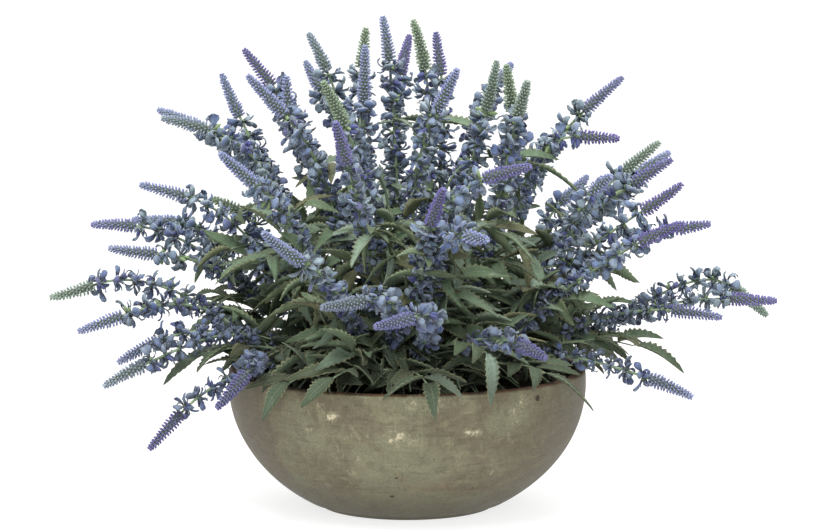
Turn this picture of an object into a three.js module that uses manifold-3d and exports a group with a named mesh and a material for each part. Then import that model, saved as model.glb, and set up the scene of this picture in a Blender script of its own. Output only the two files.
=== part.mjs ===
// Potted lavender: a round stoneware bowl filled with soil, with flowering stems and leafy stems
// standing in plain holes in the soil. Millimetres, +Z up, origin at the centre of the bowl's base,
// the front of the plant towards -Y.
import * as THREE from "three";
import { mergeVertices } from "three/addons/utils/BufferGeometryUtils.js";
import Module from "manifold-3d";

const wasm = await Module();
wasm.setup();

// Bowl: a flattened ball, cut flat at the base and at the rim
const BOWL_RADIUS = 150.5; // at its widest
const BOWL_WIDEST_AT = 105; // height of the widest circle above the base
const BOWL_HALF_HEIGHT = 120; // of the whole flattened ball
const BOWL_HEIGHT = 117;
const BOWL_WALL = 8;
const BOWL_SIDES = 32;
const RIM_ROUND = 2.5;
const OUTER_HEIGHTS = [0, 4, 12, 24, 40, 62, 88, BOWL_HEIGHT - RIM_ROUND];
const BOWL_FLOOR = 9;
const INNER_HEIGHTS = [BOWL_FLOOR, 21, 39, 66];

// Soil, rising evenly from the bowl to its middle
const FIT_GAP = 0.3;
const SOIL_SIDES = BOWL_SIDES / 2;
const SOIL_EDGE = 101; // height where it meets the bowl
const SOIL_RISE = 10;

// Stems
const ROOT_DEPTH = 16; // how far a stem stands in the soil
const STEM_RADIUS = 1.9;
const NECK_RADIUS = 1.5;
const STEM_SIDES = 3;
const CROWN_RADIUS = 108; // the stems that reach farthest start this far from the bowl's axis
const CROWN_LIMIT = 120;
const FARTHEST_REACH = 310;
const FOOT_SPACING = 10.5;
const FORK_AT = 0.42; // share of the main stem below a side branch
const BENDS = [0, 7, -7, 14, -14, 22, -22, 30, -30, 40, -40]; // sideways, tried until a stem is clear

// Whorls of flowers along a stem
const WHORL_SPACING = 26;
const TOP_WHORL = 7; // below the neck of the spike
const LEADER_WHORLS = 4; // at most
const BRANCH_WHORLS = 2;
const BARE_STEM = 64; // the lower stretch with no flowers
const BARE_BRANCH = 16;
const PETALS = 3;
const PETAL_REACH = 12;
const PETAL_RISE = 4;
const WHORL_HEART = 4.2;
const WHORL_HALF_HEIGHT = 2.6;
const PETAL_SHARES = [1, 0.8, 0.62, 0.45]; // of its reach, tried until a petal is clear

// Bud spike at the end of each stem
const SPIKE_ROWS = 5;
const SPIKE_FILES = 3;
const SPIKE_RADIUS = 6.8; // over the buds, at the thickest row
const SPIKE_TIP_RADIUS = 3.2;
const SPIKE_CORE_SHARE = 0.55;
const BUD_LEAN = 1.6; // how far a bud points up the spike

// Compound leaves: toothed leaflets in pairs on a rib, and one at its end
const LEAFLET_LENGTH = 47;
const LEAFLET_WIDTH = 15;
const SIDE_LEAFLET_SHARE = 0.86;
const LEAFLET_SPREAD = 50; // degrees between a side leaflet and the rib
const LEAF_THICKNESS = 1.2;
const LEAFLET_DROOP = 0.22; // of its length, at the tip
const RIB_HALF_WIDTH = 1.1;
const END_LEAF_STEPS = [9, 19, 13]; // along the rib to each pair of leaflets, and then to the end leaflet
const LOWER_LEAF_STEPS = [12, 13];
const RIB_DROOP = 0.55; // degrees for each millimetre
const RIB_TURNS = [0, 20, -20, 40, -40, 60, -60, 90, -90]; // degrees, tried until a rib is clear
const STALK_RADIUS = 1.6;
const LOWER_LEAF_AT = 0.6; // share of the stalk below the lower leaf
const LEAFLET_TURNS = [0, -22, 22, -44, 44, 66, -66]; // degrees, tried until a leaflet is clear
const LEAFLET_SIZES = [1, 0.8, 0.64];

// The plant is set out as it is seen from the front: across from the bowl's axis and up from its base,
// both in the upright plane through the axis, and then how far a piece leans away from the viewer
// (towards the viewer where negative).
const VIEW_RISE = 7; // degrees above the horizon
const VIEW_DISTANCE = 2600;

// Flowering stems, a row for each spike: neck across, neck up, tip across, tip up, lean, and how far the
// spike has coloured, from green at 0 to violet at 1. The first row of a stem is its leader, and the
// others branch from it.
const FLOWERING_STEMS = [
  [[-263, 186, -300, 172, -40, 0.2], [-239, 161, -278, 147, -75, 0.6]],
  [[-227, 236, -266, 240, 25, 0.7], [-210, 212, -252, 215, -25, 0.4], [-192, 240, -232, 243, 75, 0.5]],
  [[-185, 260, -225, 271, -35, 0.5], [-140, 248, -163, 262, 30, 0.1]],
  [[-165, 315, -206, 327, -30, 0.3], [-172, 322, -209, 341, 95, 0.4]],
  [[-140, 333, -157, 371, 120, 0.5]],
  [[-112, 354, -137, 386, 15, 1], [-98, 330, -103, 358, -45, 0.5]],
  [[-103, 325, -135, 356, -110, 0.6]],
  [[-128, 268, -158, 292, -140, 0.5]],
  [[-209, 140, -246, 124, -70, 0.6], [-220, 122, -258, 106, -110, 0.3]],
  [[-190, 82, -219, 51, -105, 0.9], [-135, 116, -160, 86, -160, 0.8]],
  [[-67, 371, -81, 406, 90, 0.3], [-72, 358, -87, 382, 150, 0.4]],
  [[-52, 316, -70, 352, -120, 0.1]],
  [[-36, 335, -34, 384, -70, 0.4], [-38, 368, -34, 402, -5, 0.1]],
  [[-15, 376, -19, 416, 40, 0.4]],
  [[-6, 370, 1, 407, 130, 0.9]],
  [[15, 365, 8, 408, -30, 0.1]],
  [[28, 367, 23, 405, 80, 0.8]],
  [[25, 328, 44, 361, -110, 0.5]],
  [[-50, 283, -60, 316, -175, 0.8]],
  [[66, 332, 78, 372, -45, 0.2], [75, 360, 87, 379, 110, 0.5]],
  [[88, 328, 82, 366, -95, 0.1], [92, 322, 101, 351, -120, 0.2]],
  [[147, 335, 180, 367, 70, 0.7], [145, 309, 178, 307, -45, 0.9]],
  [[65, 271, 105, 284, -170, 0.8]],
  [[181, 283, 212, 309, 45, 0.2], [188, 270, 222, 293, -15, 0.8], [195, 283, 219, 303, 95, 0.5]],
  [[197, 247, 233, 268, -75, 0.9], [155, 262, 169, 277, -110, 0.5]],
  [[195, 221, 232, 240, -120, 0.9], [222, 233, 255, 234, -70, 0.8]],
  [[270, 174, 312, 172, 10, 0.9], [272, 184, 305, 160, 45, 0.2]],
  [[222, 165, 267, 161, -50, 0.7]],
  [[204, 110, 243, 97, -105, 0.5]],
  [[-88, 205, -124, 226, -195, 0.4]],
  [[-35, 175, -73, 167, -215, 0.3]],
  [[5, 162, -28, 153, -235, 0.7]],
  [[20, 235, 31, 264, -190, 0.9]],
  [[50, 226, 68, 219, -215, 0.5]],
  [[95, 140, 118, 132, -205, 0.8]],
  [[-112, 180, -130, 196, 205, 0.6], [-150, 220, -180, 235, 160, 0.3]],
  [[-22, 205, -30, 228, 250, 0.8], [-62, 262, -76, 290, 200, 0.4]],
  [[68, 195, 82, 214, 240, 0.3], [40, 280, 50, 312, 175, 0.7]],
  [[140, 190, 165, 205, 195, 0.9], [128, 258, 152, 282, 140, 0.5]],
];

// Leafy stems, a row for each: tip of its end leaf across, up and lean
const LEAFY_STEMS = [
  [-196, 112, -75],
  [-150, 186, -110],
  [-120, 88, -158],
  [-62, 92, -192],
  [8, 88, -205],
  [70, 112, -195],
  [140, 96, -150],
  [222, 118, -60],
  [-92, 262, -90],
  [-36, 205, -165],
  [48, 300, -20],
  [128, 268, -60],
  [96, 208, -150],
  [-120, 152, 150],
  [-36, 168, 190],
  [50, 152, 195],
  [130, 168, 150],
  [188, 182, 20],
  [-178, 205, 60],
];

const GREEN_FLOWER = new THREE.Color(0x6c8a74);
const VIOLET_FLOWER = new THREE.Color(0x565c96);
const LEAF_COLOUR = new THREE.Color(0x6f8465);
const LEAF_TINTS = [0.9, 1, 1.1];

const UP = new THREE.Vector3(0, 0, 1);
const { clamp, degToRad, lerp } = THREE.MathUtils;

// A repeatable draw from 0 to 1 for one use on one piece of one stem
function draw(stem, piece, use) {
  const seed = Math.imul(stem + 1, 374761393) ^ Math.imul(piece + 1, 668265263) ^ Math.imul(use + 1, 1442695041);
  const mixed = Math.imul(seed ^ (seed >>> 13), 1274126177);
  return ((mixed ^ (mixed >>> 16)) >>> 0) / 4294967296;
}

// A place in the part's frame from where it is seen from the front
function place(across, up, lean) {
  const farther = (VIEW_DISTANCE + lean) / VIEW_DISTANCE;
  return new THREE.Vector3(across * farther, lean, up - lean * Math.tan(degToRad(VIEW_RISE)));
}

function bowlRadiusAt(height, inset) {
  const share = (BOWL_WIDEST_AT - height) / (BOWL_HALF_HEIGHT - inset);
  return (BOWL_RADIUS - inset) * Math.sqrt(1 - share * share);
}

function soilHeightAt(radius) {
  return SOIL_EDGE + SOIL_RISE * Math.max(0, 1 - radius / bowlRadiusAt(SOIL_EDGE, BOWL_WALL));
}

// The solid inside a closed set of triangles
function solidOf(points, faces) {
  const vertProperties = new Float32Array(points.flatMap((point) => point.toArray()));
  return new wasm.Manifold(new wasm.Mesh({ numProp: 3, vertProperties, triVerts: new Uint32Array(faces.flat()) }));
}

function latheSolid(profile, sides) {
  const lathe = new THREE.LatheGeometry(profile, sides).rotateX(Math.PI / 2);
  lathe.deleteAttribute("normal");
  lathe.deleteAttribute("uv");
  const merged = mergeVertices(lathe, 1e-4);
  const vertProperties = new Float32Array(merged.getAttribute("position").array);
  return new wasm.Manifold(new wasm.Mesh({ numProp: 3, vertProperties, triVerts: new Uint32Array(merged.index.array) }));
}

function meshOf(name, solid, color, roughness) {
  const { numProp, numVert, vertProperties, triVerts } = solid.getMesh();
  const positions = new Float32Array(numVert * 3);
  for (let i = 0; i < numVert; i++) {
    positions.set(vertProperties.subarray(i * numProp, i * numProp + 3), i * 3);
  }
  const geometry = new THREE.BufferGeometry();
  geometry.setAttribute("position", new THREE.BufferAttribute(positions, 3));
  geometry.setIndex(new THREE.BufferAttribute(new Uint32Array(triVerts), 1));
  geometry.computeVertexNormals();
  const mesh = new THREE.Mesh(geometry, new THREE.MeshStandardMaterial({ color, roughness, metalness: 0 }));
  mesh.name = name;
  return mesh;
}

// The bowl and what fills it

function bowlProfile() {
  const straightTop = BOWL_HEIGHT - RIM_ROUND;
  const outer = OUTER_HEIGHTS.map((height) => new THREE.Vector2(bowlRadiusAt(height, 0), height));
  const inner = [...INNER_HEIGHTS, SOIL_EDGE, straightTop]
    .map((height) => new THREE.Vector2(bowlRadiusAt(height, BOWL_WALL), height))
    .reverse();
  const crest = [0.3, 0.7].map((share) => new THREE.Vector2(outer.at(-1).x - BOWL_WALL * share, BOWL_HEIGHT));
  return [new THREE.Vector2(0, 0), ...outer, ...crest, ...inner, new THREE.Vector2(0, BOWL_FLOOR)];
}

// The soil's wall has its corners at the same heights as the inside of the bowl, a gap away
function soilProfile() {
  const wall = [...INNER_HEIGHTS, SOIL_EDGE].map((height) => (
    new THREE.Vector2(bowlRadiusAt(height, BOWL_WALL) - 2 * FIT_GAP, height + FIT_GAP)
  ));
  return [new THREE.Vector2(0, BOWL_FLOOR + FIT_GAP), ...wall, new THREE.Vector2(0, soilHeightAt(0))];
}

// What is taken already: balls along every stem, petal, spike and leaflet, sorted into cubes. A loose ball
// is one on a leaflet away from its foot, which other leaflets of its own stem also keep clear of.

const CUBE = 16;
const taken = new Map();

function cubeKey(point, i, j, k) {
  return `${Math.floor(point.x / CUBE) + i},${Math.floor(point.y / CUBE) + j},${Math.floor(point.z / CUBE) + k}`;
}

function take(balls, stem, piece) {
  for (const ball of balls) {
    const key = cubeKey(ball.at, 0, 0, 0);
    if (!taken.has(key)) taken.set(key, []);
    taken.get(key).push({ ...ball, stem, piece });
  }
}

function hitsBowl(at, radius) {
  if (at.z > BOWL_HEIGHT + radius) return false;
  const level = Math.min(at.z, BOWL_HEIGHT);
  const across = Math.hypot(at.x, at.y);
  const outside = across > bowlRadiusAt(level, 0) + radius;
  const inside = across < bowlRadiusAt(level, BOWL_WALL) - radius;
  return !outside && (!inside || at.z < soilHeightAt(across) + radius);
}

function neighboursOf(point) {
  const found = [];
  for (let i = -1; i <= 1; i++) {
    for (let j = -1; j <= 1; j++) {
      for (let k = -1; k <= 1; k++) found.push(...(taken.get(cubeKey(point, i, j, k)) ?? []));
    }
  }
  return found;
}

function isClear(balls, stem, piece) {
  return balls.every((ball) => {
    if (hitsBowl(ball.at, ball.radius + FIT_GAP)) return false;
    return neighboursOf(ball.at).every((other) => {
      const sameBody = other.stem === stem && !(ball.loose && other.loose && other.piece !== piece);
      return sameBody || other.at.distanceTo(ball.at) > other.radius + ball.radius + FIT_GAP;
    });
  });
}

// A closed skin over rings of points, from a flat foot to a pointed end
class Skin {
  constructor() {
    this.points = [];
    this.faces = [];
    this.last = null;
  }

  // A ring is a list of points and of how far each is turned about the ring's middle, in radians
  addRing(turns, points) {
    const ring = points.map((point, i) => ({ turn: turns[i], index: this.points.push(point) - 1 }));
    if (this.last) this.stitch(this.last, ring);
    else for (let i = 1; i < ring.length - 1; i++) this.faces.push([ring[0].index, ring[i + 1].index, ring[i].index]);
    this.last = ring;
  }

  // Joins two rings, which may differ in number, stepping along the one whose next point comes first
  stitch(low, high) {
    const turnOf = (ring, i) => ring[i % ring.length].turn + 2 * Math.PI * Math.floor(i / ring.length);
    const indexOf = (ring, i) => ring[i % ring.length].index;
    for (let i = 0, j = 0; i < low.length || j < high.length;) {
      const stepLow = j >= high.length || (i < low.length && turnOf(low, i + 1) < turnOf(high, j + 1));
      const next = stepLow ? indexOf(low, i + 1) : indexOf(high, j + 1);
      this.faces.push([indexOf(low, i), next, indexOf(high, j)]);
      if (stepLow) i += 1;
      else j += 1;
    }
  }

  close(point) {
    const tip = this.points.push(point) - 1;
    this.last.forEach(({ index }, i) => this.faces.push([index, this.last[(i + 1) % this.last.length].index, tip]));
    return solidOf(this.points, this.faces);
  }
}

// A stem's line: straight in the soil, then an arch to the neck, then straight on along the spike
class StemLine {
  constructor(start, leaving, neck, tip, bend) {
    const span = start.distanceTo(neck);
    const sideways = neck.clone().sub(start).cross(UP).setLength(bend);
    this.spike = tip.clone().sub(neck).normalize();
    const low = start.clone().addScaledVector(leaving, span * 0.36).add(sideways);
    const high = neck.clone().addScaledVector(this.spike, -span * 0.3).add(sideways);
    this.root = low.clone().sub(start).normalize();
    this.arch = new THREE.CubicBezierCurve3(start, low, high, neck);
    this.length = this.arch.getLength();
    this.spikeLength = tip.distanceTo(neck);
  }

  at(distance) {
    if (distance <= 0) return { point: this.arch.v0.clone().addScaledVector(this.root, distance), along: this.root };
    if (distance >= this.length) {
      const point = this.arch.v3.clone().addScaledVector(this.spike, distance - this.length);
      return { point, along: this.spike };
    }
    return {
      point: this.arch.getPointAt(distance / this.length),
      along: this.arch.getTangentAt(distance / this.length),
    };
  }
}

// Which way a stem leaves the soil: towards where it goes, and steeper where it has the rim to pass
function leavingTowards(start, goal) {
  const lift = 0.45 + 1.5 * clamp((175 - goal.z) / 75, 0, 1);
  return goal.clone().sub(start).normalize().addScaledVector(UP, lift).normalize();
}

// The feet of all stems: each on the side that its stem leans to, and all pushed apart
function stemFeet(goals) {
  const feet = goals.map((goal, stem) => {
    const reach = Math.hypot(goal.x, goal.y);
    const out = CROWN_RADIUS * Math.min(1, reach / FARTHEST_REACH) * (0.9 + 0.1 * draw(stem, 0, 9));
    return new THREE.Vector2(goal.x, goal.y).setLength(out);
  });
  for (let round = 0; round < 60; round++) {
    feet.forEach((foot, i) => {
      for (const other of feet.slice(i + 1)) {
        const apart = foot.clone().sub(other);
        const short = FOOT_SPACING - apart.length();
        if (short <= 0) continue;
        apart.setLength(short / 2);
        foot.add(apart);
        other.sub(apart);
      }
      foot.clampLength(0, CROWN_LIMIT);
    });
  }
  return feet.map((foot) => new THREE.Vector3(foot.x, foot.y, soilHeightAt(foot.length())));
}

// Over the buds, from the neck at 0 to the tip at 1
function spikeRadiusAt(share) {
  return lerp(SPIKE_RADIUS, SPIKE_TIP_RADIUS, share) * Math.min(1, 0.8 + 1.6 * share);
}

function stemRadiusAt(line, distance) {
  return lerp(STEM_RADIUS, NECK_RADIUS, clamp(distance / line.length, 0, 1));
}

function stemBalls(line, from) {
  const balls = [];
  for (let d = from; d < line.length; d += 3) {
    balls.push({ at: line.at(d).point, radius: stemRadiusAt(line, d) + 0.3 });
  }
  return balls;
}

function spikeBalls(line) {
  const balls = [];
  for (let d = 0; d < line.spikeLength; d += 4) {
    balls.push({ at: line.at(line.length + d).point, radius: spikeRadiusAt(d / line.spikeLength) });
  }
  return balls;
}

// The first of the lines, from the least bent, that is clear of the stems before it
function clearLine(lineFor, ballsOf, stem) {
  const line = BENDS.map(lineFor).find((candidate) => isClear(ballsOf(candidate), stem));
  if (!line) throw new Error(`stem ${stem} has no clear line`);
  return line;
}

function leaderLine(foot, neck, tip, stem) {
  const lineFor = (bend) => new StemLine(foot, leavingTowards(foot, neck), neck, tip, bend);
  return clearLine(lineFor, (line) => [...stemBalls(line, 14), ...spikeBalls(line)], stem);
}

function branchLine(leader, neck, tip, stem) {
  const fork = leader.at(leader.length * FORK_AT);
  const lineFor = (bend) => new StemLine(fork.point, fork.along, neck, tip, bend);
  return clearLine(lineFor, (line) => [...stemBalls(line, 5), ...spikeBalls(line)], stem);
}

// Points round a stem's line at the given turns, each with its own reach out and rise along the line
function ringPoints({ point, along }, side, turns, reach, rise) {
  const other = along.clone().cross(side);
  return turns.map((turn, i) => point.clone()
    .addScaledVector(side, Math.cos(turn) * reach[i])
    .addScaledVector(other, Math.sin(turn) * reach[i])
    .addScaledVector(along, rise[i]));
}

// Follows a line with a side direction that never twists, and hangs rings on it
class Ringer {
  constructor(line) {
    this.line = line;
    this.skin = new Skin();
    this.side = new THREE.Vector3(1, 0, 0);
  }

  goTo(distance) {
    const here = this.line.at(distance);
    this.side.addScaledVector(here.along, -this.side.dot(here.along)).normalize();
    return here;
  }

  ring(distance, turns, reach, rise) {
    this.skin.addRing(turns, ringPoints(this.goTo(distance), this.side, turns, reach, rise));
  }

  evenRing(distance, count, radius, shift = 0, rise = 0) {
    const turns = Array.from({ length: count }, (_, i) => (2 * Math.PI * (i + shift)) / count);
    this.ring(distance, turns, turns.map(() => radius), turns.map(() => rise));
  }
}

// Flowering stems

// A star of petals, each shortened until it is clear of its neighbours
function addWhorl(ringer, distance, stem, piece) {
  const { line } = ringer;
  const radius = stemRadiusAt(line, distance);
  ringer.evenRing(distance - WHORL_HALF_HEIGHT, STEM_SIDES, radius);
  const here = ringer.goTo(distance);
  const first = draw(stem, piece, 1) * 0.9;
  const turns = Array.from({ length: 2 * PETALS }, (_, i) => (Math.PI * (i + first)) / PETALS);
  const reach = turns.map(() => WHORL_HEART);
  const rise = turns.map(() => 0);
  for (let i = 0; i < turns.length; i += 2) {
    const full = [PETAL_REACH * (0.86 + 0.28 * draw(stem, piece, 2 + i)), PETAL_RISE * 2 * draw(stem, piece, 20 + i)];
    const ballsFor = (share) => {
      const [end] = ringPoints(here, ringer.side, [turns[i]], [full[0] * share], [full[1] * share]);
      return [0.4, 0.7, 1].map((part) => ({ at: here.point.clone().lerp(end, part), radius: 1 + 2 * (1 - part) }));
    };
    const share = PETAL_SHARES.find((candidate) => isClear(ballsFor(candidate), stem)) ?? WHORL_HEART / full[0];
    take(ballsFor(share), stem);
    reach[i] = full[0] * share;
    rise[i] = full[1] * share;
  }
  ringer.ring(distance, turns, reach, rise);
  ringer.evenRing(distance + WHORL_HALF_HEIGHT, STEM_SIDES, radius);
}

// Rows of buds, each turned half a step from the last, with a valley between rows
function addSpike(ringer) {
  const { length, spikeLength } = ringer.line;
  const step = 1 / (SPIKE_ROWS + 0.2);
  for (let row = 0; row < SPIKE_ROWS; row++) {
    const share = (row + 0.35) * step;
    const radius = spikeRadiusAt(share);
    ringer.evenRing(length + share * spikeLength, SPIKE_FILES, radius, (row % 2) / 2, BUD_LEAN);
    if (row === SPIKE_ROWS - 1) continue;
    const valley = length + (share + step / 2) * spikeLength;
    ringer.evenRing(valley, SPIKE_FILES, radius * SPIKE_CORE_SHARE, ((row + 1) % 2) / 2);
  }
  return ringer.skin.close(ringer.line.at(length + spikeLength).point);
}

// A stem from `start` on its line, with whorls from its neck down to where it is bare, and with a corner
// at `fork` for its branches to leave
function flowerStem(line, start, bare, mostWhorls, fork, stem, branch) {
  const ringer = new Ringer(line);
  const whorls = [];
  for (let d = line.length - TOP_WHORL; d > bare && whorls.length < mostWhorls; d -= WHORL_SPACING) whorls.push(d);
  const lowest = whorls.length ? whorls.at(-1) - WHORL_HALF_HEIGHT : line.length;
  const corners = [start, 0, lowest * 0.35, lowest * 0.7, fork].filter((d) => d <= lowest - 4);
  for (const d of [...new Set(corners)].sort((a, b) => a - b)) {
    ringer.evenRing(d, STEM_SIDES, stemRadiusAt(line, d));
  }
  whorls.reverse().forEach((distance, i) => addWhorl(ringer, distance, stem, branch * LEADER_WHORLS + i));
  return addSpike(ringer);
}

// Leafy stems

// One leaflet's frame: its foot on the rib, and its forward, side and upward directions
function leafletFrame(foot, along, upward, hand, turn, size, stem, piece) {
  const side = along.clone().cross(upward);
  const spread = degToRad(hand * LEAFLET_SPREAD * (0.85 + 0.3 * draw(stem, piece, 2)));
  const forward = along.clone().multiplyScalar(Math.cos(spread)).addScaledVector(side, Math.sin(spread));
  const axis = hand ? along : side;
  const angle = degToRad((hand || 1) * turn);
  const normal = upward.clone().applyAxisAngle(axis, angle);
  forward.applyAxisAngle(axis, angle);
  const scale = size * (hand ? SIDE_LEAFLET_SHARE : 1) * (0.88 + 0.24 * draw(stem, piece, 1));
  return {
    foot,
    forward,
    normal,
    side: forward.clone().cross(normal),
    length: LEAFLET_LENGTH * scale,
    width: LEAFLET_WIDTH * scale,
    droop: LEAFLET_DROOP * (0.5 + draw(stem, piece, 3)),
    fold: 0.08 + 0.14 * draw(stem, piece, 4),
  };
}

// A point of a leaflet, at shares of its length and of its half width, drooping and folded up at the edges
function leafletPoint(leaflet, along, across) {
  const { foot, forward, side, normal, length, width, droop, fold } = leaflet;
  return foot.clone()
    .addScaledVector(forward, along * length)
    .addScaledVector(side, (across * width) / 2)
    .addScaledVector(normal, Math.abs(across) * fold * width - droop * along * along * length);
}

function leafletBalls(leaflet) {
  const balls = [];
  for (let along = 0.1; along <= 1; along += 0.09) {
    const half = 0.9 * Math.min(1, along / 0.3, (1.05 - along) / 0.35);
    for (const across of [-half, -half / 2, 0, half / 2, half]) {
      balls.push({ at: leafletPoint(leaflet, along, across), radius: 1.5, loose: along > 0.35 });
    }
  }
  return balls;
}

// Points of a leaflet's toothed edge and of its midrib, as shares of its length and half width
const TOOTHED_EDGE = [[0.34, 1], [0.46, 0.66], [0.66, 0.74]];
const MIDRIB = [0.32, 0.64];

// A compound leaf as one thin blade: its edge is one outline, cut to the rib between leaflets, and the
// ribs are raised on both faces
class Blade {
  constructor() {
    this.points = [];
    this.faces = [];
  }

  // A corner that both faces share
  edge(point, at) {
    const index = this.points.push(point) - 1;
    return { at, over: index, under: index };
  }

  rib(point, normal, at) {
    const over = this.points.push(point.clone().addScaledVector(normal, LEAF_THICKNESS / 2)) - 1;
    const under = this.points.push(point.clone().addScaledVector(normal, -LEAF_THICKNESS / 2)) - 1;
    return { at, over, under };
  }

  // Fills between two rows of corners that run the same way, seen from above with `left` on the left
  fill(left, right) {
    for (let i = 0, j = 0; i < left.length - 1 || j < right.length - 1;) {
      const stepLeft = j >= right.length - 1 || (i < left.length - 1 && left[i + 1].at < right[j + 1].at);
      const next = stepLeft ? left[i + 1] : right[j + 1];
      this.faces.push([left[i].over, right[j].over, next.over]);
      this.faces.push([right[j].under, left[i].under, next.under]);
      if (stepLeft) i += 1;
      else j += 1;
    }
  }

  // A leaflet between its left and right root corners, from its foot on the rib
  fillLeaflet(leaflet, foot, leftRoot, rightRoot) {
    const tip = this.edge(leafletPoint(leaflet, 1, 0), 1);
    const midrib = MIDRIB.map((along) => this.rib(leafletPoint(leaflet, along, 0), leaflet.normal, along));
    const [left, right] = [-1, 1].map((hand) => (
      TOOTHED_EDGE.map(([along, across]) => this.edge(leafletPoint(leaflet, along, hand * across), along))
    ));
    const spine = [{ ...foot, at: 0 }, ...midrib];
    this.fill([{ ...leftRoot, at: 0 }, ...left, tip], spine);
    this.fill(spine, [{ ...rightRoot, at: 0 }, ...right, tip]);
  }
}

// The frames along a leaf's rib, which droops evenly
function ribFrames(foot, forward, steps) {
  const side = forward.clone().cross(UP).normalize();
  const frames = [{ point: foot, along: forward }];
  for (const step of steps) {
    const { point, along } = frames.at(-1);
    const turned = along.clone().applyAxisAngle(side, -degToRad(RIB_DROOP * step));
    frames.push({ point: point.clone().addScaledVector(turned, step), along: turned });
  }
  return frames.map(({ point, along }) => ({ point, along, side, upward: side.clone().cross(along) }));
}

function ribBalls(frames) {
  return frames.slice(1).flatMap(({ point }, i) => (
    [0.25, 0.5, 0.75, 1].map((part) => ({ at: frames[i].point.clone().lerp(point, part), radius: 1.6 }))
  ));
}

// The rib from a foot, turned about the upright until it is clear of its neighbours
function clearRib(foot, forward, steps, stem) {
  const turned = RIB_TURNS.map((turn) => ribFrames(foot, forward.clone().applyAxisAngle(UP, degToRad(turn)), steps));
  const frames = turned.find((candidate) => isClear(ribBalls(candidate), stem));
  if (!frames) throw new Error(`a leaf of stem ${stem} has no clear rib`);
  take(ribBalls(frames), stem);
  return frames;
}

// The first leaflet, from the largest and least turned, that is clear of its neighbours
function clearLeaflet({ point, along, upward }, hand, stem, piece) {
  for (const size of LEAFLET_SIZES) {
    for (const turn of LEAFLET_TURNS) {
      const leaflet = leafletFrame(point, along, upward, hand, turn, size, stem, piece);
      if (!isClear(leafletBalls(leaflet), stem, piece)) continue;
      take(leafletBalls(leaflet), stem, piece);
      return leaflet;
    }
  }
  return null;
}

// A leaf on a rib, with a pair of leaflets at each of its frames and one leaflet at its end
function leafSolid(frames, stem, leaf) {
  const blade = new Blade();
  const ribEdge = ({ point, along, side }, hand, ahead) => (
    blade.edge(point.clone().addScaledVector(side, hand * RIB_HALF_WIDTH).addScaledVector(along, ahead), 1)
  );
  const start = blade.edge(frames[0].point, 0);
  let before = { spine: null, left: start, right: start };
  const reachRib = (frame, ahead) => {
    const spine = blade.rib(frame.point, frame.upward, 1);
    const left = ribEdge(frame, -1, ahead);
    const right = ribEdge(frame, 1, ahead);
    const spineRow = before.spine ? [{ ...before.spine, at: 0 }, spine] : [spine];
    blade.fill([{ ...before.left, at: 0 }, left], spineRow);
    blade.fill(spineRow, [{ ...before.right, at: 0 }, right]);
    return { spine, left, right };
  };

  frames.slice(1, -1).forEach((frame, i) => {
    const { spine, left, right } = reachRib(frame, -RIB_HALF_WIDTH);
    const [leftLeaflet, rightLeaflet] = [-1, 1].map((hand, j) => (
      clearLeaflet(frame, hand, stem, leaf * 10 + i * 2 + j)
    ));
    const farLeft = leftLeaflet ? ribEdge(frame, -1, RIB_HALF_WIDTH) : left;
    const farRight = rightLeaflet ? ribEdge(frame, 1, RIB_HALF_WIDTH) : right;
    if (leftLeaflet) blade.fillLeaflet(leftLeaflet, spine, left, farLeft);
    if (rightLeaflet) blade.fillLeaflet(rightLeaflet, spine, farRight, right);
    before = { spine, left: farLeft, right: farRight };
  });

  const last = frames.at(-1);
  const { spine, left, right } = reachRib(last, 0);
  const endLeaflet = clearLeaflet(last, 0, stem, leaf * 10 + 9);
  if (endLeaflet) {
    blade.fillLeaflet(endLeaflet, spine, left, right);
  } else {
    const bud = blade.edge(last.point.clone().addScaledVector(last.along, 2 * RIB_HALF_WIDTH), 1);
    blade.fill([{ ...left, at: 0 }, bud], [spine]);
    blade.fill([spine], [{ ...right, at: 0 }, bud]);
  }
  return solidOf(blade.points, blade.faces);
}

// The ribs of a leafy stem's two leaves: one carries on from its end, the other leaves it sideways
function clearRibs(line, stem) {
  const end = line.at(line.length - 0.5);
  const fork = line.at(line.length * LOWER_LEAF_AT);
  const hand = draw(stem, 0, 5) < 0.5 ? -1 : 1;
  const away = fork.along.clone().cross(UP).setLength(hand).addScaledVector(fork.along, 0.35).setZ(0.25);
  return [
    clearRib(end.point, end.along, END_LEAF_STEPS, stem),
    clearRib(fork.point, away.normalize(), LOWER_LEAF_STEPS, stem),
  ];
}

function leafyStem(line, [endRib, lowerRib], stem) {
  const ringer = new Ringer(line);
  const lowerAt = line.length * LOWER_LEAF_AT;
  for (const d of [-ROOT_DEPTH, 0, lowerAt / 2, lowerAt, (lowerAt + line.length) / 2, line.length]) {
    ringer.evenRing(d, STEM_SIDES, lerp(STALK_RADIUS, STALK_RADIUS * 0.8, Math.max(0, d) / line.length));
  }
  const stalk = ringer.skin.close(line.at(line.length + STALK_RADIUS).point);
  return stalk.add(leafSolid(endRib, stem, 0)).add(leafSolid(lowerRib, stem, 1));
}

// The plain three-sided hole that a stem stands in
function holeFor(line, radius) {
  const root = {
    at: (distance) => ({ point: line.at(0).point.addScaledVector(line.root, distance), along: line.root }),
  };
  const ringer = new Ringer(root);
  ringer.evenRing(-ROOT_DEPTH - FIT_GAP, STEM_SIDES, radius + 2 * FIT_GAP + 0.1);
  ringer.evenRing(12, STEM_SIDES, radius + 2 * FIT_GAP + 0.1);
  return ringer.skin.close(root.at(14).point);
}

const plant = new THREE.Group();
plant.name = "potted_lavender";
plant.add(meshOf("bowl", latheSolid(bowlProfile(), BOWL_SIDES), 0x8a8670, 0.5));

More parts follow.
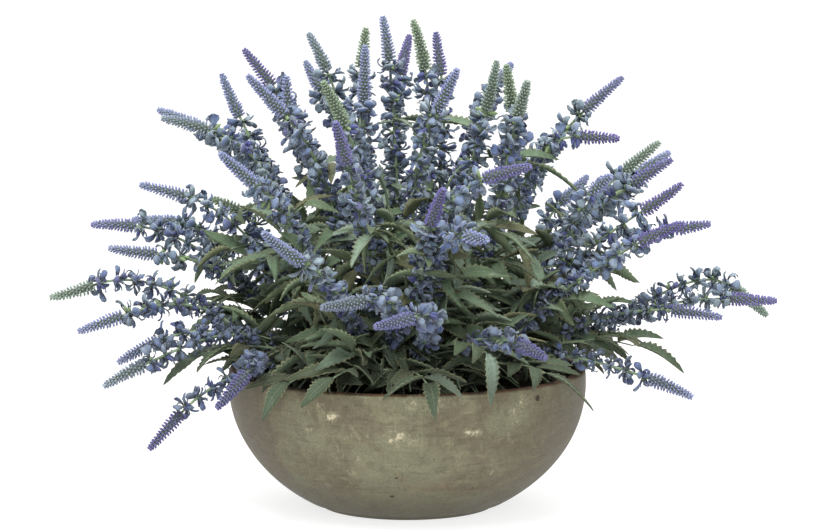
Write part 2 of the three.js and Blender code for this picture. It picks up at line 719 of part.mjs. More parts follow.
// The neck of a spike leans a little less than its tip
const NECK_LEAN_SHARE = 0.9;
const spikes = FLOWERING_STEMS.map((rows) => rows.map(([neckAcross, neckUp, tipAcross, tipUp, lean]) => ({
  neck: place(neckAcross, neckUp, lean * NECK_LEAN_SHARE),
  tip: place(tipAcross, tipUp, lean),
})));

// A leafy stem's own end, from which its end leaf reaches out to the tip
const LEAF_REACH = 72;
const LEAF_FALL = 20;
const leafyEnds = LEAFY_STEMS.map(([across, up, lean]) => {
  const tip = place(across, up, lean);
  const out = new THREE.Vector3(tip.x, tip.y, 0).normalize();
  return { out, point: tip.addScaledVector(out, -LEAF_REACH).addScaledVector(UP, LEAF_FALL) };
});
const feet = stemFeet([...spikes.map(([leader]) => leader.neck), ...leafyEnds.map(({ point }) => point)]);

// Every line is drawn before any petal or leaflet, which then keep clear of all of them
const flowerLines = spikes.map(([leader, ...branches], stem) => {
  const main = leaderLine(feet[stem], leader.neck, leader.tip, stem);
  take([...stemBalls(main, 0), ...spikeBalls(main)], stem);
  return [main, ...branches.map(({ neck, tip }) => {
    const branch = branchLine(main, neck, tip, stem);
    take([...stemBalls(branch, 0), ...spikeBalls(branch)], stem);
    return branch;
  })];
});
const leafyLines = leafyEnds.map(({ out, point }, i) => {
  const stem = spikes.length + i;
  const beyond = point.clone().add(out).addScaledVector(UP, 0.2);
  const lineFor = (bend) => new StemLine(feet[stem], leavingTowards(feet[stem], point), point, beyond, bend);
  const line = clearLine(lineFor, (candidate) => stemBalls(candidate, 14), stem);
  take(stemBalls(line, 0), stem);
  return line;
});

const leafyRibs = leafyLines.map((line, i) => clearRibs(line, spikes.length + i));

let soil = latheSolid(soilProfile(), SOIL_SIDES);
flowerLines.forEach((lines, stem) => {
  const [leader, ...branches] = lines;
  const fork = branches.length ? leader.length * FORK_AT : 0;
  let solid = flowerStem(leader, -ROOT_DEPTH, BARE_STEM, LEADER_WHORLS, fork, stem, 0);
  branches.forEach((line, i) => {
    solid = solid.add(flowerStem(line, 0, BARE_BRANCH, BRANCH_WHORLS, 0, stem, i + 1));
  });
  soil = soil.subtract(holeFor(leader, STEM_RADIUS));
  const bloom = FLOWERING_STEMS[stem][0][5];
  const name = `flowering_stem_${String(stem + 1).padStart(2, "0")}`;
  plant.add(meshOf(name, solid, GREEN_FLOWER.clone().lerp(VIOLET_FLOWER, bloom), 0.8));
});
leafyLines.forEach((line, i) => {
  const stem = spikes.length + i;
  const solid = leafyStem(line, leafyRibs[i], stem);
  soil = soil.subtract(holeFor(line, STALK_RADIUS));
  const colour = LEAF_COLOUR.clone().multiplyScalar(LEAF_TINTS[i % LEAF_TINTS.length]);
  plant.add(meshOf(`leafy_stem_${String(i + 1).padStart(2, "0")}`, solid, colour, 0.8));
});
plant.add(meshOf("soil", soil, 0x2a221a, 0.95));

export default plant;
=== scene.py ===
import math

import bmesh
import bpy
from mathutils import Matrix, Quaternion, Vector, kdtree, noise
from mathutils.bvhtree import BVHTree


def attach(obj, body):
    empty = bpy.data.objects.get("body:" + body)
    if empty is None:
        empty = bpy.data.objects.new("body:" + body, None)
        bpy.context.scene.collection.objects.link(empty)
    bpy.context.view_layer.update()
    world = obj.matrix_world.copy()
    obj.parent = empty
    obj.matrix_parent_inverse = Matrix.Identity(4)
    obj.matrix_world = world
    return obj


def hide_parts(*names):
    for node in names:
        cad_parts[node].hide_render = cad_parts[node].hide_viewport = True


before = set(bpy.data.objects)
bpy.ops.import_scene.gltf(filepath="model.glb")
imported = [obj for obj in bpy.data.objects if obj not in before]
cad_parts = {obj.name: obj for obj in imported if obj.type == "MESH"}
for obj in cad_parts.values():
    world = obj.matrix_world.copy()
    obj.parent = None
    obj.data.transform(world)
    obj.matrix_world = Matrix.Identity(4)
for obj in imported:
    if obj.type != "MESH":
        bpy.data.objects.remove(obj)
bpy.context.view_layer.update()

MM = 0.001  # sizes below are in millimetres, and a Blender unit is a metre


# The bowl
#
# One thick-walled bowl of aged stoneware: a flattened ball, cut flat at the base and at the rim. It is
# turned by hand, so it isn't quite even, its wash is mottled olive and brown, and its edge is chipped.

BOWL_RADIUS = 150.5
BOWL_WIDEST_AT = 105
BOWL_HALF_HEIGHT = 120  # of the whole flattened ball
BOWL_HEIGHT = 117
BOWL_WALL = 8
BOWL_FLOOR = 9
BOWL_SIDES = 288
OUTER_ROWS = (5.4, 113.8, 2.6)  # from, to, and height of a row of faces
INNER_ROWS = (13, 112, 8)
FLOOR_CORNER = 5
BASE = [(0, 0), (30, 0), (58, 0), (71.2, 0.0), (72.9, 0.4), (74.6, 1.5), (76.6, 3.4)]  # radius and height
RIM = [(149.9, 114.9), (149.3, 116.0), (148.2, 116.8), (146.6, 117.0), (144.6, 117.0),
       (143.0, 116.7), (142.1, 115.9), (141.7, 114.6)]
UNEVEN = 0.45  # how far the wall strays from a true circle
UNEVEN_WAVE = 62
UNEVEN_FROM = 12  # the height up to which this comes in

# Chips that show the pale clay, rubbed spots, and dark nicks: degrees round from the front, height, radius
# and depth
PALE_CHIPS = [
    (-24, 97, 2.7, 0.5), (-22.4, 98, 2.0, 0.3), (-1.7, 84, 2.9, 0.5), (-4.6, 80.5, 2.2, 0.4),
    (-2, 76, 1.3, 0.2), (19.4, 85.5, 2.2, 0.4), (20.8, 84.5, 1.7, 0.3), (22.8, 84, 1.8, 0.3),
    (31, 48, 1.5, 0.3), (-31.8, 85, 1.4, 0.2), (84, 66, 2.8, 0.5), (118, 96, 3.2, 0.6),
    (152, 110, 3.4, 1.1), (176, 58, 2.2, 0.4), (-150, 84, 2.8, 0.5), (-118, 104, 2.4, 0.6),
    (-88, 40, 2.2, 0.4),
]
RUBBED_AND_HIGHLIGHT_SPOTS = [
    (35.4, 100, 4.0, 0.1), (36, 92, 3.2, 0.1), (33.5, 80, 2.0, 0.1), (-33, 84, 2.6, 0.1), (2, 80, 4.2, 0.1),
    (-5, 88, 3.0, 0.1), (-16, 62, 3.2, 0.1), (-19, 50, 3.4, 0.1), (-28, 106, 4.0, 0.1), (38, 107, 4.4, 0.1),
    # The spots at 2 and 8 degrees, just under the rim, are a painted highlight of the light on the rim, not
    # wear
    (2, 112, 6.0, 0.1), (8, 111, 7.0, 0.1), (108, 84, 6.0, 0.1), (-132, 70, 6.0, 0.1), (168, 92, 5.0, 0.1),
]
DARK_NICKS = [
    (44.6, 107.8, 2.5, 1.6), (-22, 90, 1.1, 0.3), (-4, 58, 1.3, 0.4), (-3.4, 46, 1.5, 0.3),
    (-6, 28, 2.0, 0.3), (33, 62, 1.0, 0.3), (96, 104, 2.6, 0.8), (-104, 70, 1.8, 0.4),
    (-164, 108, 3.0, 1.2), (140, 48, 1.8, 0.4),
]
CHIP_HALO = 2.2  # how far a chip's ragged edge reaches, in its radii
# Broad patches of its wash: degrees round from the front, height, radius, and tone, from brown at -1 to
# olive at 1
WASH_PATCHES = [
    (-4, 52, 44, 1.0), (-36, 80, 34, 0.8), (-60, 56, 36, -0.9), (-26, 106, 26, -0.7), (44, 56, 48, -0.55),
    (18, 30, 30, -0.6), (16, 102, 28, -0.5), (30, 113, 12, -0.8), (36, 96, 12, 1.0), (78, 90, 40, -0.5),
    (100, 40, 35, 0.6), (124, 74, 45, 0.9), (165, 56, 50, -0.8), (180, 102, 30, 0.7), (-150, 80, 45, 0.8),
    (-112, 50, 40, -0.8), (-92, 96, 30, 0.6),
]


def bowl_radius_at(height, inset=0.0):
    share = (BOWL_WIDEST_AT - height) / (BOWL_HALF_HEIGHT - inset)
    return (BOWL_RADIUS - inset) * math.sqrt(1 - share * share)


def steps_between(low, high, step):
    count = max(1, round((high - low) / step))
    return [low + (high - low) * i / count for i in range(count + 1)]


def bowl_profile():
    outer = [(bowl_radius_at(h), h) for h in steps_between(*OUTER_ROWS)]
    inner = [(bowl_radius_at(h, BOWL_WALL), h) for h in steps_between(*INNER_ROWS)]
    floor = [(inner[0][0] - FLOOR_CORNER, BOWL_FLOOR), (0, BOWL_FLOOR)]
    return [*BASE, *outer, *RIM, *reversed(inner), *floor]


def turned_shape(profile, sides):
    """Rings of points about the upright axis, closed to a point at both ends of the profile."""
    points, faces = [], []
    for radius, height in profile:
        for i in range(sides if radius else 1):
            turn = 2 * math.pi * i / sides
            points.append(Vector((radius * math.cos(turn), radius * math.sin(turn), height)))
    rings = [1 + ring * sides for ring in range(len(profile) - 2)]
    for i in range(sides):
        j = (i + 1) % sides
        faces.append((0, 1 + j, 1 + i))
        faces += [(low + i, low + j, high + j, high + i) for low, high in zip(rings, rings[1:])]
        faces.append((rings[-1] + i, rings[-1] + j, len(points) - 1))
    return points, faces


def chip_facing(degrees, height):
    turn = math.radians(degrees)
    radius = bowl_radius_at(height)
    return Vector((radius * math.sin(turn), -radius * math.cos(turn), height))


def worn(points):
    """Strays each point a little, sinks the chips, and marks each point: towards 1 at pale chips, 0.5 at
    rubbed spots and at the spots of painted highlight, and -1 at dark nicks. It gives these marks and the
    tone of the wash."""
    chips = [(chip_facing(degrees, height), radius, depth, mark)
             for mark, places in ((1, PALE_CHIPS), (0.5, RUBBED_AND_HIGHLIGHT_SPOTS), (-1, DARK_NICKS))
             for degrees, height, radius, depth in places]
    patches = [(chip_facing(degrees, height), radius, tone)
               for degrees, height, radius, tone in WASH_PATCHES]
    nearness, tones = [], []
    for point in points:
        tones.append(sum(tone * max(0, 1 - ((point - centre).length / radius) ** 2)
                         for centre, radius, tone in patches))
        nearness.append(0.0)
        out = Vector((point.x, point.y, 0))
        if out.length < 1:
            continue
        out.normalize()
        point += out * noise.noise(point / UNEVEN_WAVE) * UNEVEN * min(1, point.z / UNEVEN_FROM)
        for centre, radius, depth, mark in chips:
            away = (point - centre).length
            if away < radius * CHIP_HALO:
                nearness[-1] = max(nearness[-1], mark * (1 - away / (radius * CHIP_HALO)), key=abs)
                point -= out * depth * max(0, 1 - (away / radius) ** 2)
    return nearness, tones


def mesh_of(name, points, faces, edges=()):
    mesh = bpy.data.meshes.new(name)
    mesh.from_pydata([point * MM for point in points], list(edges), faces)
    mesh.update()
    return mesh


def store(mesh, name, kind, values):
    """Keeps a value for each point of a mesh, for its material or its node tree."""
    attribute = mesh.attributes.new(name, kind, "POINT")
    if kind == "FLOAT_VECTOR":
        attribute.data.foreach_set("vector", [number for value in values for number in value])
    else:
        attribute.data.foreach_set("value", values)


def add_object(name, data):
    made = bpy.data.objects.new(name, data)
    bpy.context.collection.objects.link(made)
    return made


def paint(colour):
    """A colour as it looks on a screen, 0 to 255, on a shader's even scale. A link stays as it is."""
    if isinstance(colour, bpy.types.NodeSocket):
        return colour
    parts = [number / 255 for number in colour]
    return (*[part / 12.92 if part < 0.04045 else ((part + 0.055) / 1.055) ** 2.4 for part in parts], 1)


def add_node(tree, kind, values=(), **settings):
    """Adds a node; `values` pairs each input, by number or identifier, with a value or a link."""
    made = tree.nodes.new(kind)
    for name, setting in settings.items():
        setattr(made, name, setting)
    for key, value in dict(values).items():
        by_identifier = {socket.identifier: socket for socket in made.inputs}
        socket = made.inputs[key] if isinstance(key, int) else by_identifier[key]
        if isinstance(value, bpy.types.NodeSocket):
            tree.links.new(value, socket)
        else:
            socket.default_value = value
    return made


def output_of(tree, kind, values=(), output=0, **settings):
    return add_node(tree, kind, values, **settings).outputs[output]


def new_finish(name, **constants):
    """A material with a plain shader, its tree, and the place on the object. `constants` are set on the
    shader's own inputs."""
    finish = bpy.data.materials.new(name)
    finish.use_nodes = True
    tree = finish.node_tree
    for key, value in constants.items():
        label = key.replace("_", " ").title().replace("Ior", "IOR")
        tree.nodes["Principled BSDF"].inputs[label].default_value = value
    return finish, tree, output_of(tree, "ShaderNodeTexCoord", output="Object")


def finished(finish, colour, roughness, relief, depth):
    """The material with its colour and roughness, and its surface bumped by up to `depth` millimetres."""
    tree = finish.node_tree
    bump = output_of(tree, "ShaderNodeBump", {"Height": relief, "Distance": depth * MM})
    for label, link in (("Base Color", colour), ("Roughness", roughness), ("Normal", bump)):
        tree.links.new(link, tree.nodes["Principled BSDF"].inputs[label])
    return finish


def grain(tree, place, size, detail, roughness, distortion=0.0, squeeze=None):
    """Noise whose patches are about `size` millimetres across, and squeezed by so much along each axis."""
    if squeeze:
        place = output_of(tree, "ShaderNodeMapping", {"Vector": place, "Scale": squeeze})
    return output_of(tree, "ShaderNodeTexNoise", {
        "Vector": place, "Scale": 1 / (size * MM), "Detail": detail, "Roughness": roughness,
        "Distortion": distortion})


def rise(tree, value, low, high, at_low=0.0, at_high=1.0):
    """Goes smoothly from one level to another as a value passes from `low` to `high`."""
    values = {"Value": value, "From Min": low, "From Max": high, "To Min": at_low, "To Max": at_high}
    return output_of(tree, "ShaderNodeMapRange", values, interpolation_type="SMOOTHSTEP")


def figure(tree, operation, a, b=0.0, c=0.0):
    return output_of(tree, "ShaderNodeMath", {0: a, 1: b, 2: c}, operation=operation)


def summed(tree, *shares):
    """The sum of values, each times its share."""
    total = 0.0
    for value, share in shares:
        total = figure(tree, "MULTIPLY_ADD", value, share, total)
    return total


def blended(tree, share, a, b):
    values = {"Factor_Float": share, "A_Color": paint(a), "B_Color": paint(b)}
    return output_of(tree, "ShaderNodeMix", values, 2, data_type="RGBA")


def layered(tree, colour, *layers):
    """Lays colours over one another in turn. A layer is a value, the two levels of it between which the
    colour comes in, the most it covers, and the colour. One without levels covers by the value itself."""
    for value, *levels, most, over in layers:
        share = rise(tree, value, *levels, 0, most) if levels else figure(tree, "MULTIPLY", value, most)
        colour = blended(tree, share, colour, over)
    return colour


def kept(tree, name, output="Fac"):
    """What a mesh keeps for each point under a name."""
    return output_of(tree, "ShaderNodeAttribute", output=output, attribute_name=name)


def parts_of(tree, vector):
    return add_node(tree, "ShaderNodeSeparateXYZ", {0: vector}).outputs


def stoneware():
    finish, tree, place = new_finish("aged_stoneware", specular_ior_level=0.24)
    spread = parts_of(tree, place)
    # The wash is olive on the front and the back, and patchy; towards the sides it is painted browner and
    # darker, as painted shade where the light falls off round the sides
    painted_side_shade = figure(tree, "POWER", figure(tree, "DIVIDE", spread["X"], BOWL_RADIUS * MM), 2.0)
    wash = figure(tree, "MULTIPLY_ADD", painted_side_shade, -0.16, grain(tree, place, 40, 6, 0.66, 0.7))
    wash = figure(tree, "MULTIPLY_ADD", kept(tree, "tone"), 0.16, wash)
    patches = grain(tree, place, 25, 7, 0.7, 1.2, (1, 1, 1.4))
    mottle = grain(tree, place, 6.5, 6, 0.72, 0.4)
    turning = grain(tree, place, 44, 7, 0.72, 0, (1, 1, 15))
    scratches = grain(tree, place, 34, 6, 0.75, 0.6, (8, 8, 0.8))
    fine = grain(tree, place, 1.4, 4, 0.75)
    rust = grain(tree, place, 46, 4, 0.6, 0.8)
    # Small dark pits, in a few of the cells
    cells = add_node(tree, "ShaderNodeTexVoronoi", {"Vector": place, "Scale": 1 / (11 * MM)}).outputs
    rare = rise(tree, output_of(tree, "ShaderNodeSeparateColor", {0: cells["Color"]}), 0.8, 0.82)
    pit = figure(tree, "MULTIPLY", rise(tree, cells["Distance"], 0.09, 0.04), rare)
    colour = layered(
        tree, (110, 101, 82),
        (wash, 0.3, 0.62, 1, (127, 127, 101)),
        (patches, 0.5, 0.72, 0.6, (154, 151, 120)),
        (patches, 0.5, 0.32, 0.4, (86, 78, 63)),
        (mottle, 0.52, 0.74, 0.35, (152, 149, 124)),
        (mottle, 0.48, 0.3, 0.5, (80, 74, 58)),
        (turning, 0.54, 0.68, 0.5, (82, 75, 59)),
        (turning, 0.45, 0.32, 0.3, (154, 152, 128)),
        (scratches, 0.58, 0.7, 0.5, (170, 166, 138)),
        (rust, 0.6, 0.72, 0.4, (134, 106, 78)),
        # Painted shade: darker towards the sides
        (painted_side_shade, 0.08, 0.8, 0.5, (74, 69, 57)),
        # Painted shade: darker towards the foot
        (spread["Z"], 0.06, 0.0, 0.8, (68, 64, 50)),
        (fine, 0.4, 0.65, 0.4, (78, 73, 58)),
        (pit, 0.75, (54, 48, 38)))
    # The rim's edge is worn down to a thin line of red-brown clay, darker in places
    edge = rise(tree, spread["Z"], 0.1148, 0.1164)
    edge = figure(tree, "MULTIPLY", edge, rise(tree, mottle, 0.3, 0.5, 0.5, 1))
    clay = layered(tree, (56, 44, 35), (patches, 0.4, 0.6, 1, (94, 70, 52)))
    near = kept(tree, "chip")
    ragged = rise(tree, grain(tree, place, 2.4, 4, 0.7), 0.3, 0.7, -0.3, 0.3)
    near_ragged = figure(tree, "ADD", near, ragged)
    chip = rise(tree, near_ragged, 0.58, 0.66)
    nick = rise(tree, figure(tree, "MULTIPLY_ADD", ragged, 0.25, near), -0.4, -0.52)
    # Pale chips, rubbed spots and dark nicks; the pale spots just under the rim at the front are a painted
    # highlight
    colour = layered(
        tree, blended(tree, edge, colour, clay),
        (near_ragged, 0.15, 0.5, 0.3, (174, 169, 142)),
        (chip, 0.85, (200, 188, 160)),
        (nick, 0.85, (44, 38, 30)))
    dull = rise(tree, patches, 0.35, 0.7, 0.44, 0.6)
    dull = figure(tree, "ADD", dull, rise(tree, fine, 0.3, 0.7, 0, 0.1))
    dull = figure(tree, "MULTIPLY_ADD", chip, 0.3, dull)
    relief = summed(tree, (fine, 0.2), (patches, 0.5), (turning, 0.5), (pit, -0.9))
    return finished(finish, colour, dull, relief, 0.8)


points, faces = turned_shape(bowl_profile(), BOWL_SIDES)
nearness, tones = worn(points)
bowl_mesh = mesh_of("stoneware_bowl", points, faces)
store(bowl_mesh, "chip", "FLOAT", nearness)
store(bowl_mesh, "tone", "FLOAT", tones)
bowl_mesh.polygons.foreach_set("use_smooth", [True] * len(faces))
bowl_mesh.materials.append(stoneware())
bowl = add_object("stoneware_bowl", bowl_mesh)
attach(bowl, "root")
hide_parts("bowl")


# The soil
#
# Dark potting soil that fills the bowl to a little below its rim and rises to the middle, with loose
# crumbs on top. It holds every stem by the foot.

SOIL_GAP = 0.6  # between it and the inside of the bowl
SOIL_UNDER = 0.4  # between it and the bowl's floor
SOIL_FLOOR_RADIUS = 76
SOIL_WALL_HEIGHTS = (15, 24, 39, 66, 100.5)
SOIL_EDGE = 101
SOIL_RISE = 10
SOIL_SIDES = 96
SOIL_ROWS = 22
SOIL_BUMPS = [(9, 1.1), (3.1, 0.5)]  # how wide and how high
CRUMBS_PER_CM2 = 1.3
CRUMB_SIZE = (0.9, 2.6)


def soil_height_at(radius):
    return SOIL_EDGE + SOIL_RISE * max(0, 1 - radius / bowl_radius_at(SOIL_EDGE, BOWL_WALL))


def soil_profile():
    wall = [(bowl_radius_at(h, BOWL_WALL) - SOIL_GAP, h + SOIL_GAP / 2) for h in SOIL_WALL_HEIGHTS]
    radii = [wall[-1][0] * (1 - i / SOIL_ROWS) for i in range(1, SOIL_ROWS)]
    under = BOWL_FLOOR + SOIL_UNDER
    return [(0, under), (SOIL_FLOOR_RADIUS, under), *wall,
            *[(radius, soil_height_at(radius)) for radius in radii], (0, soil_height_at(0))]


def crumb(name, seed):
    """A loose lump of soil, a few dozen faces at most."""
    form = bmesh.new()
    bmesh.ops.create_icosphere(form, subdivisions=1, radius=1)
    for vertex in form.verts:
        vertex.co *= 1 + 0.5 * noise.noise(vertex.co * 1.7 + Vector((seed, 0, 0)))
        vertex.co.z *= 0.75
    mesh = bpy.data.meshes.new(name)
    form.to_mesh(mesh)
    form.free()
    return mesh


def new_tree(name, inputs):
    """A node tree for a mesh, with named inputs, each with its value, and what these give."""
    tree = bpy.data.node_groups.new(name, "GeometryNodeTree")
    for in_out in ("INPUT", "OUTPUT"):
        tree.interface.new_socket("Geometry", in_out=in_out, socket_type="NodeSocketGeometry")
    for label, value in inputs.items():
        kind = "NodeSocketInt" if isinstance(value, int) else "NodeSocketFloat"
        tree.interface.new_socket(label, in_out="INPUT", socket_type=kind).default_value = value
    return tree, tree.nodes.new("NodeGroupInput").outputs


def read(tree, name, kind="FLOAT"):
    return output_of(tree, "GeometryNodeInputNamedAttribute", {"Name": name}, data_type=kind)


def equals(tree, value, number):
    values = {"A_INT": value, "B_INT": number}
    return output_of(tree, "FunctionNodeCompare", values, data_type="INT", operation="EQUAL")


def end_tree(tree, parts, finishes):
    """Joins the parts, makes repeats real, and gives each face the finish of its kind number."""
    joined = tree.nodes.new("GeometryNodeJoinGeometry")
    for part in parts:
        tree.links.new(part, joined.inputs[0])
    whole = output_of(tree, "GeometryNodeRealizeInstances", {0: joined.outputs[0]})
    whole = output_of(tree, "GeometryNodeSetShadeSmooth", {0: whole})
    kind = read(tree, "finish", "INT")
    for number, finish in enumerate(finishes):
        values = {"Geometry": whole, "Selection": equals(tree, kind, number), "Material": finish}
        whole = output_of(tree, "GeometryNodeSetMaterial", values)
    tree.links.new(whole, tree.nodes.new("NodeGroupOutput").inputs[0])


def with_value(tree, shape, name, value, kind="FLOAT", domain="POINT"):
    values = {"Geometry": shape, "Name": name, "Value": value}
    return output_of(tree, "GeometryNodeStoreNamedAttribute", values, data_type=kind, domain=domain)


def chance(tree, low, high, seed, use=0):
    """A random number for each element, repeatable by its seed and by the use it is for."""
    if use:
        seed = figure(tree, "ADD", seed, use)
    kind, ending, output = ("INT", "_002", 2) if isinstance(low, int) else ("FLOAT", "_001", 1)
    values = {"Min" + ending: low, "Max" + ending: high, "Seed": seed}
    return output_of(tree, "FunctionNodeRandomValue", values, output, data_type=kind)


def choice_of(tree, name, meshes):
    """The shapes as instances to pick from, in order of name, kept out of the scene."""
    group = bpy.data.collections.new(name)
    for mesh in meshes:
        group.objects.link(bpy.data.objects.new(mesh.name, mesh))
    values = {"Collection": group, "Separate Children": True, "Reset Children": True}
    return output_of(tree, "GeometryNodeCollectionInfo", values)


def repeated(tree, spots, shapes, pick, rotation, size):
    return output_of(tree, "GeometryNodeInstanceOnPoints", {
        "Points": spots, "Instance": shapes, "Pick Instance": True, "Instance Index": pick,
        "Rotation": rotation, "Scale": size})


def between(tree, value, ends):
    return output_of(tree, "ShaderNodeMapRange", {"Value": value, "To Min": ends[0], "To Max": ends[1]})


def turn_about(tree, axis, angle):
    """A turn about an axis, by its number."""
    angles = output_of(tree, "ShaderNodeCombineXYZ", {axis: angle})
    return output_of(tree, "FunctionNodeEulerToRotation", {0: angles})


def grown(name, start, tree, settings):
    """The plain mesh that a tree makes from a starting mesh, as a piece."""
    holder = add_object(name + "_start", start)
    modifier = holder.modifiers.new("grow", "NODES")
    modifier.node_group = tree
    for item in tree.interface.items_tree:
        if item.name in settings:
            modifier[item.identifier] = settings[item.name]
    depsgraph = bpy.context.evaluated_depsgraph_get()
    mesh = bpy.data.meshes.new_from_object(holder.evaluated_get(depsgraph), preserve_all_data_layers=True,
                                           depsgraph=depsgraph)
    holder.modifiers.remove(modifier)
    bpy.data.objects.remove(holder)
    mesh.name = name
    return add_object(name, mesh)


def potting_soil():
    finish, tree, place = new_finish("potting_soil", specular_ior_level=0.2)
    lumps = grain(tree, place, 5, 6, 0.7)
    grit = grain(tree, place, 0.8, 3, 0.6)
    colour = layered(
        tree, (31, 25, 19),
        (lumps, 0.35, 0.65, 1, (62, 51, 39)),
        (grit, 0.62, 0.75, 0.6, (104, 88, 68)))
    relief = summed(tree, (grit, 0.3), (lumps, 0.8))
    return finished(finish, colour, rise(tree, lumps, 0.3, 0.7, 0.86, 0.98), relief, 1.6)


def crumb_tree():
    tree, given = new_tree("scattered_crumbs", {"Crumbs": 1.0, "Smallest": 1.0, "Largest": 2.0, "Seed": 1})
    upward = parts_of(tree, output_of(tree, "GeometryNodeInputNormal"))["Z"]
    facing_up = output_of(tree, "FunctionNodeCompare", {"A": upward, "B": 0.5}, operation="GREATER_THAN")
    spots = output_of(tree, "GeometryNodeDistributePointsOnFaces", {
        "Mesh": given["Geometry"], "Selection": facing_up, "Density": given["Crumbs"],
        "Seed": given["Seed"]})
    crumbs = choice_of(tree, "crumbs", [crumb(f"crumb_{seed}", seed * 7.3) for seed in range(3)])
    small = figure(tree, "POWER", chance(tree, 0.0, 1.0, 11), 2.0)
    size = between(tree, small, (given["Smallest"], given["Largest"]))
    turn = turn_about(tree, 2, chance(tree, 0.0, 2 * math.pi, 12))
    laid = repeated(tree, spots, crumbs, chance(tree, 0, 2, 13), turn, size)
    ground = with_value(tree, given["Geometry"], "finish", 0, "INT")
    end_tree(tree, [ground, with_value(tree, laid, "finish", 0, "INT", "INSTANCE")], [potting_soil()])
    return tree


points, faces = turned_shape(soil_profile(), SOIL_SIDES)
for point in points:
    inside = bowl_radius_at(SOIL_EDGE, BOWL_WALL) - SOIL_GAP - math.hypot(point.x, point.y)
    if point.z > SOIL_EDGE and inside > 1:
        point.z += sum(high * noise.noise(point / wide) for wide, high in SOIL_BUMPS)
soil = grown("potting_soil", mesh_of("soil_start", points, faces), crumb_tree(),
             {"Crumbs": CRUMBS_PER_CM2 * 1e4, "Smallest": CRUMB_SIZE[0] * MM, "Largest": CRUMB_SIZE[1] * MM,
              "Seed": 5})
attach(soil, "root")
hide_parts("soil")


# Where the stems stand
#
# Every stem is set out by where it is seen from the front: across from the bowl's axis and up from its
# base, and how far it leans away from the viewer. Each then follows the same line as its solid.

UP = Vector((0, 0, 1))
VIEW_RISE = 7
VIEW_DISTANCE = 2600

# Flowering stems, a row for each spike: neck across, neck up, tip across, tip up, lean, and how far the
# spike has coloured, from green at 0 to violet at 1. The first row of a stem is its leader.
FLOWERING_STEMS = [
    [[-263, 186, -300, 172, -40, 0.2], [-239, 161, -278, 147, -75, 0.6]],
    [[-227, 236, -266, 240, 25, 0.7], [-210, 212, -252, 215, -25, 0.4], [-192, 240, -232, 243, 75, 0.5]],
    [[-185, 260, -225, 271, -35, 0.5], [-140, 248, -163, 262, 30, 0.1]],
    [[-165, 315, -206, 327, -30, 0.3], [-172, 322, -209, 341, 95, 0.4]],
    [[-140, 333, -157, 371, 120, 0.5]],
    [[-112, 354, -137, 386, 15, 1], [-98, 330, -103, 358, -45, 0.5]],
    [[-103, 325, -135, 356, -110, 0.6]],
    [[-128, 268, -158, 292, -140, 0.5]],
    [[-209, 140, -246, 124, -70, 0.6], [-220, 122, -258, 106, -110, 0.3]],
    [[-190, 82, -219, 51, -105, 0.9], [-135, 116, -160, 86, -160, 0.8]],
    [[-67, 371, -81, 406, 90, 0.3], [-72, 358, -87, 382, 150, 0.4]],
    [[-52, 316, -70, 352, -120, 0.1]],
    [[-36, 335, -34, 384, -70, 0.4], [-38, 368, -34, 402, -5, 0.1]],
    [[-15, 376, -19, 416, 40, 0.4]],
    [[-6, 370, 1, 407, 130, 0.9]],
    [[15, 365, 8, 408, -30, 0.1]],
    [[28, 367, 23, 405, 80, 0.8]],
    [[25, 328, 44, 361, -110, 0.5]],
    [[-50, 283, -60, 316, -175, 0.8]],
    [[66, 332, 78, 372, -45, 0.2], [75, 360, 87, 379, 110, 0.5]],
    [[88, 328, 82, 366, -95, 0.1], [92, 322, 101, 351, -120, 0.2]],
    [[147, 335, 180, 367, 70, 0.7], [145, 309, 178, 307, -45, 0.9]],
    [[65, 271, 105, 284, -170, 0.8]],
    [[181, 283, 212, 309, 45, 0.2], [188, 270, 222, 293, -15, 0.8], [195, 283, 219, 303, 95, 0.5]],
    [[197, 247, 233, 268, -75, 0.9], [155, 262, 169, 277, -110, 0.5]],
    [[195, 221, 232, 240, -120, 0.9], [222, 233, 255, 234, -70, 0.8]],
    [[270, 174, 312, 172, 10, 0.9], [272, 184, 305, 160, 45, 0.2]],
    [[222, 165, 267, 161, -50, 0.7]],
    [[204, 110, 243, 97, -105, 0.5]],
    [[-88, 205, -124, 226, -195, 0.4]],
    [[-35, 175, -73, 167, -215, 0.3]],
    [[5, 162, -28, 153, -235, 0.7]],
    [[20, 235, 31, 264, -190, 0.9]],
    [[50, 226, 68, 219, -215, 0.5]],
    [[95, 140, 118, 132, -205, 0.8]],
    [[-112, 180, -130, 196, 205, 0.6], [-150, 220, -180, 235, 160, 0.3]],
    [[-22, 205, -30, 228, 250, 0.8], [-62, 262, -76, 290, 200, 0.4]],
    [[68, 195, 82, 214, 240, 0.3], [40, 280, 50, 312, 175, 0.7]],
    [[140, 190, 165, 205, 195, 0.9], [128, 258, 152, 282, 140, 0.5]],
]

# Leafy stems, a row for each: tip of its end leaf across, up and lean
LEAFY_STEMS = [
    [-196, 112, -75], [-150, 186, -110], [-120, 88, -158], [-62, 92, -192], [8, 88, -205],
    [70, 112, -195], [140, 96, -150], [222, 118, -60], [-92, 262, -90], [-36, 205, -165],
    [48, 300, -20], [128, 268, -60], [96, 208, -150], [-120, 152, 150], [-36, 168, 190],
    [50, 152, 195], [130, 168, 150], [188, 182, 20], [-178, 205, 60],
]

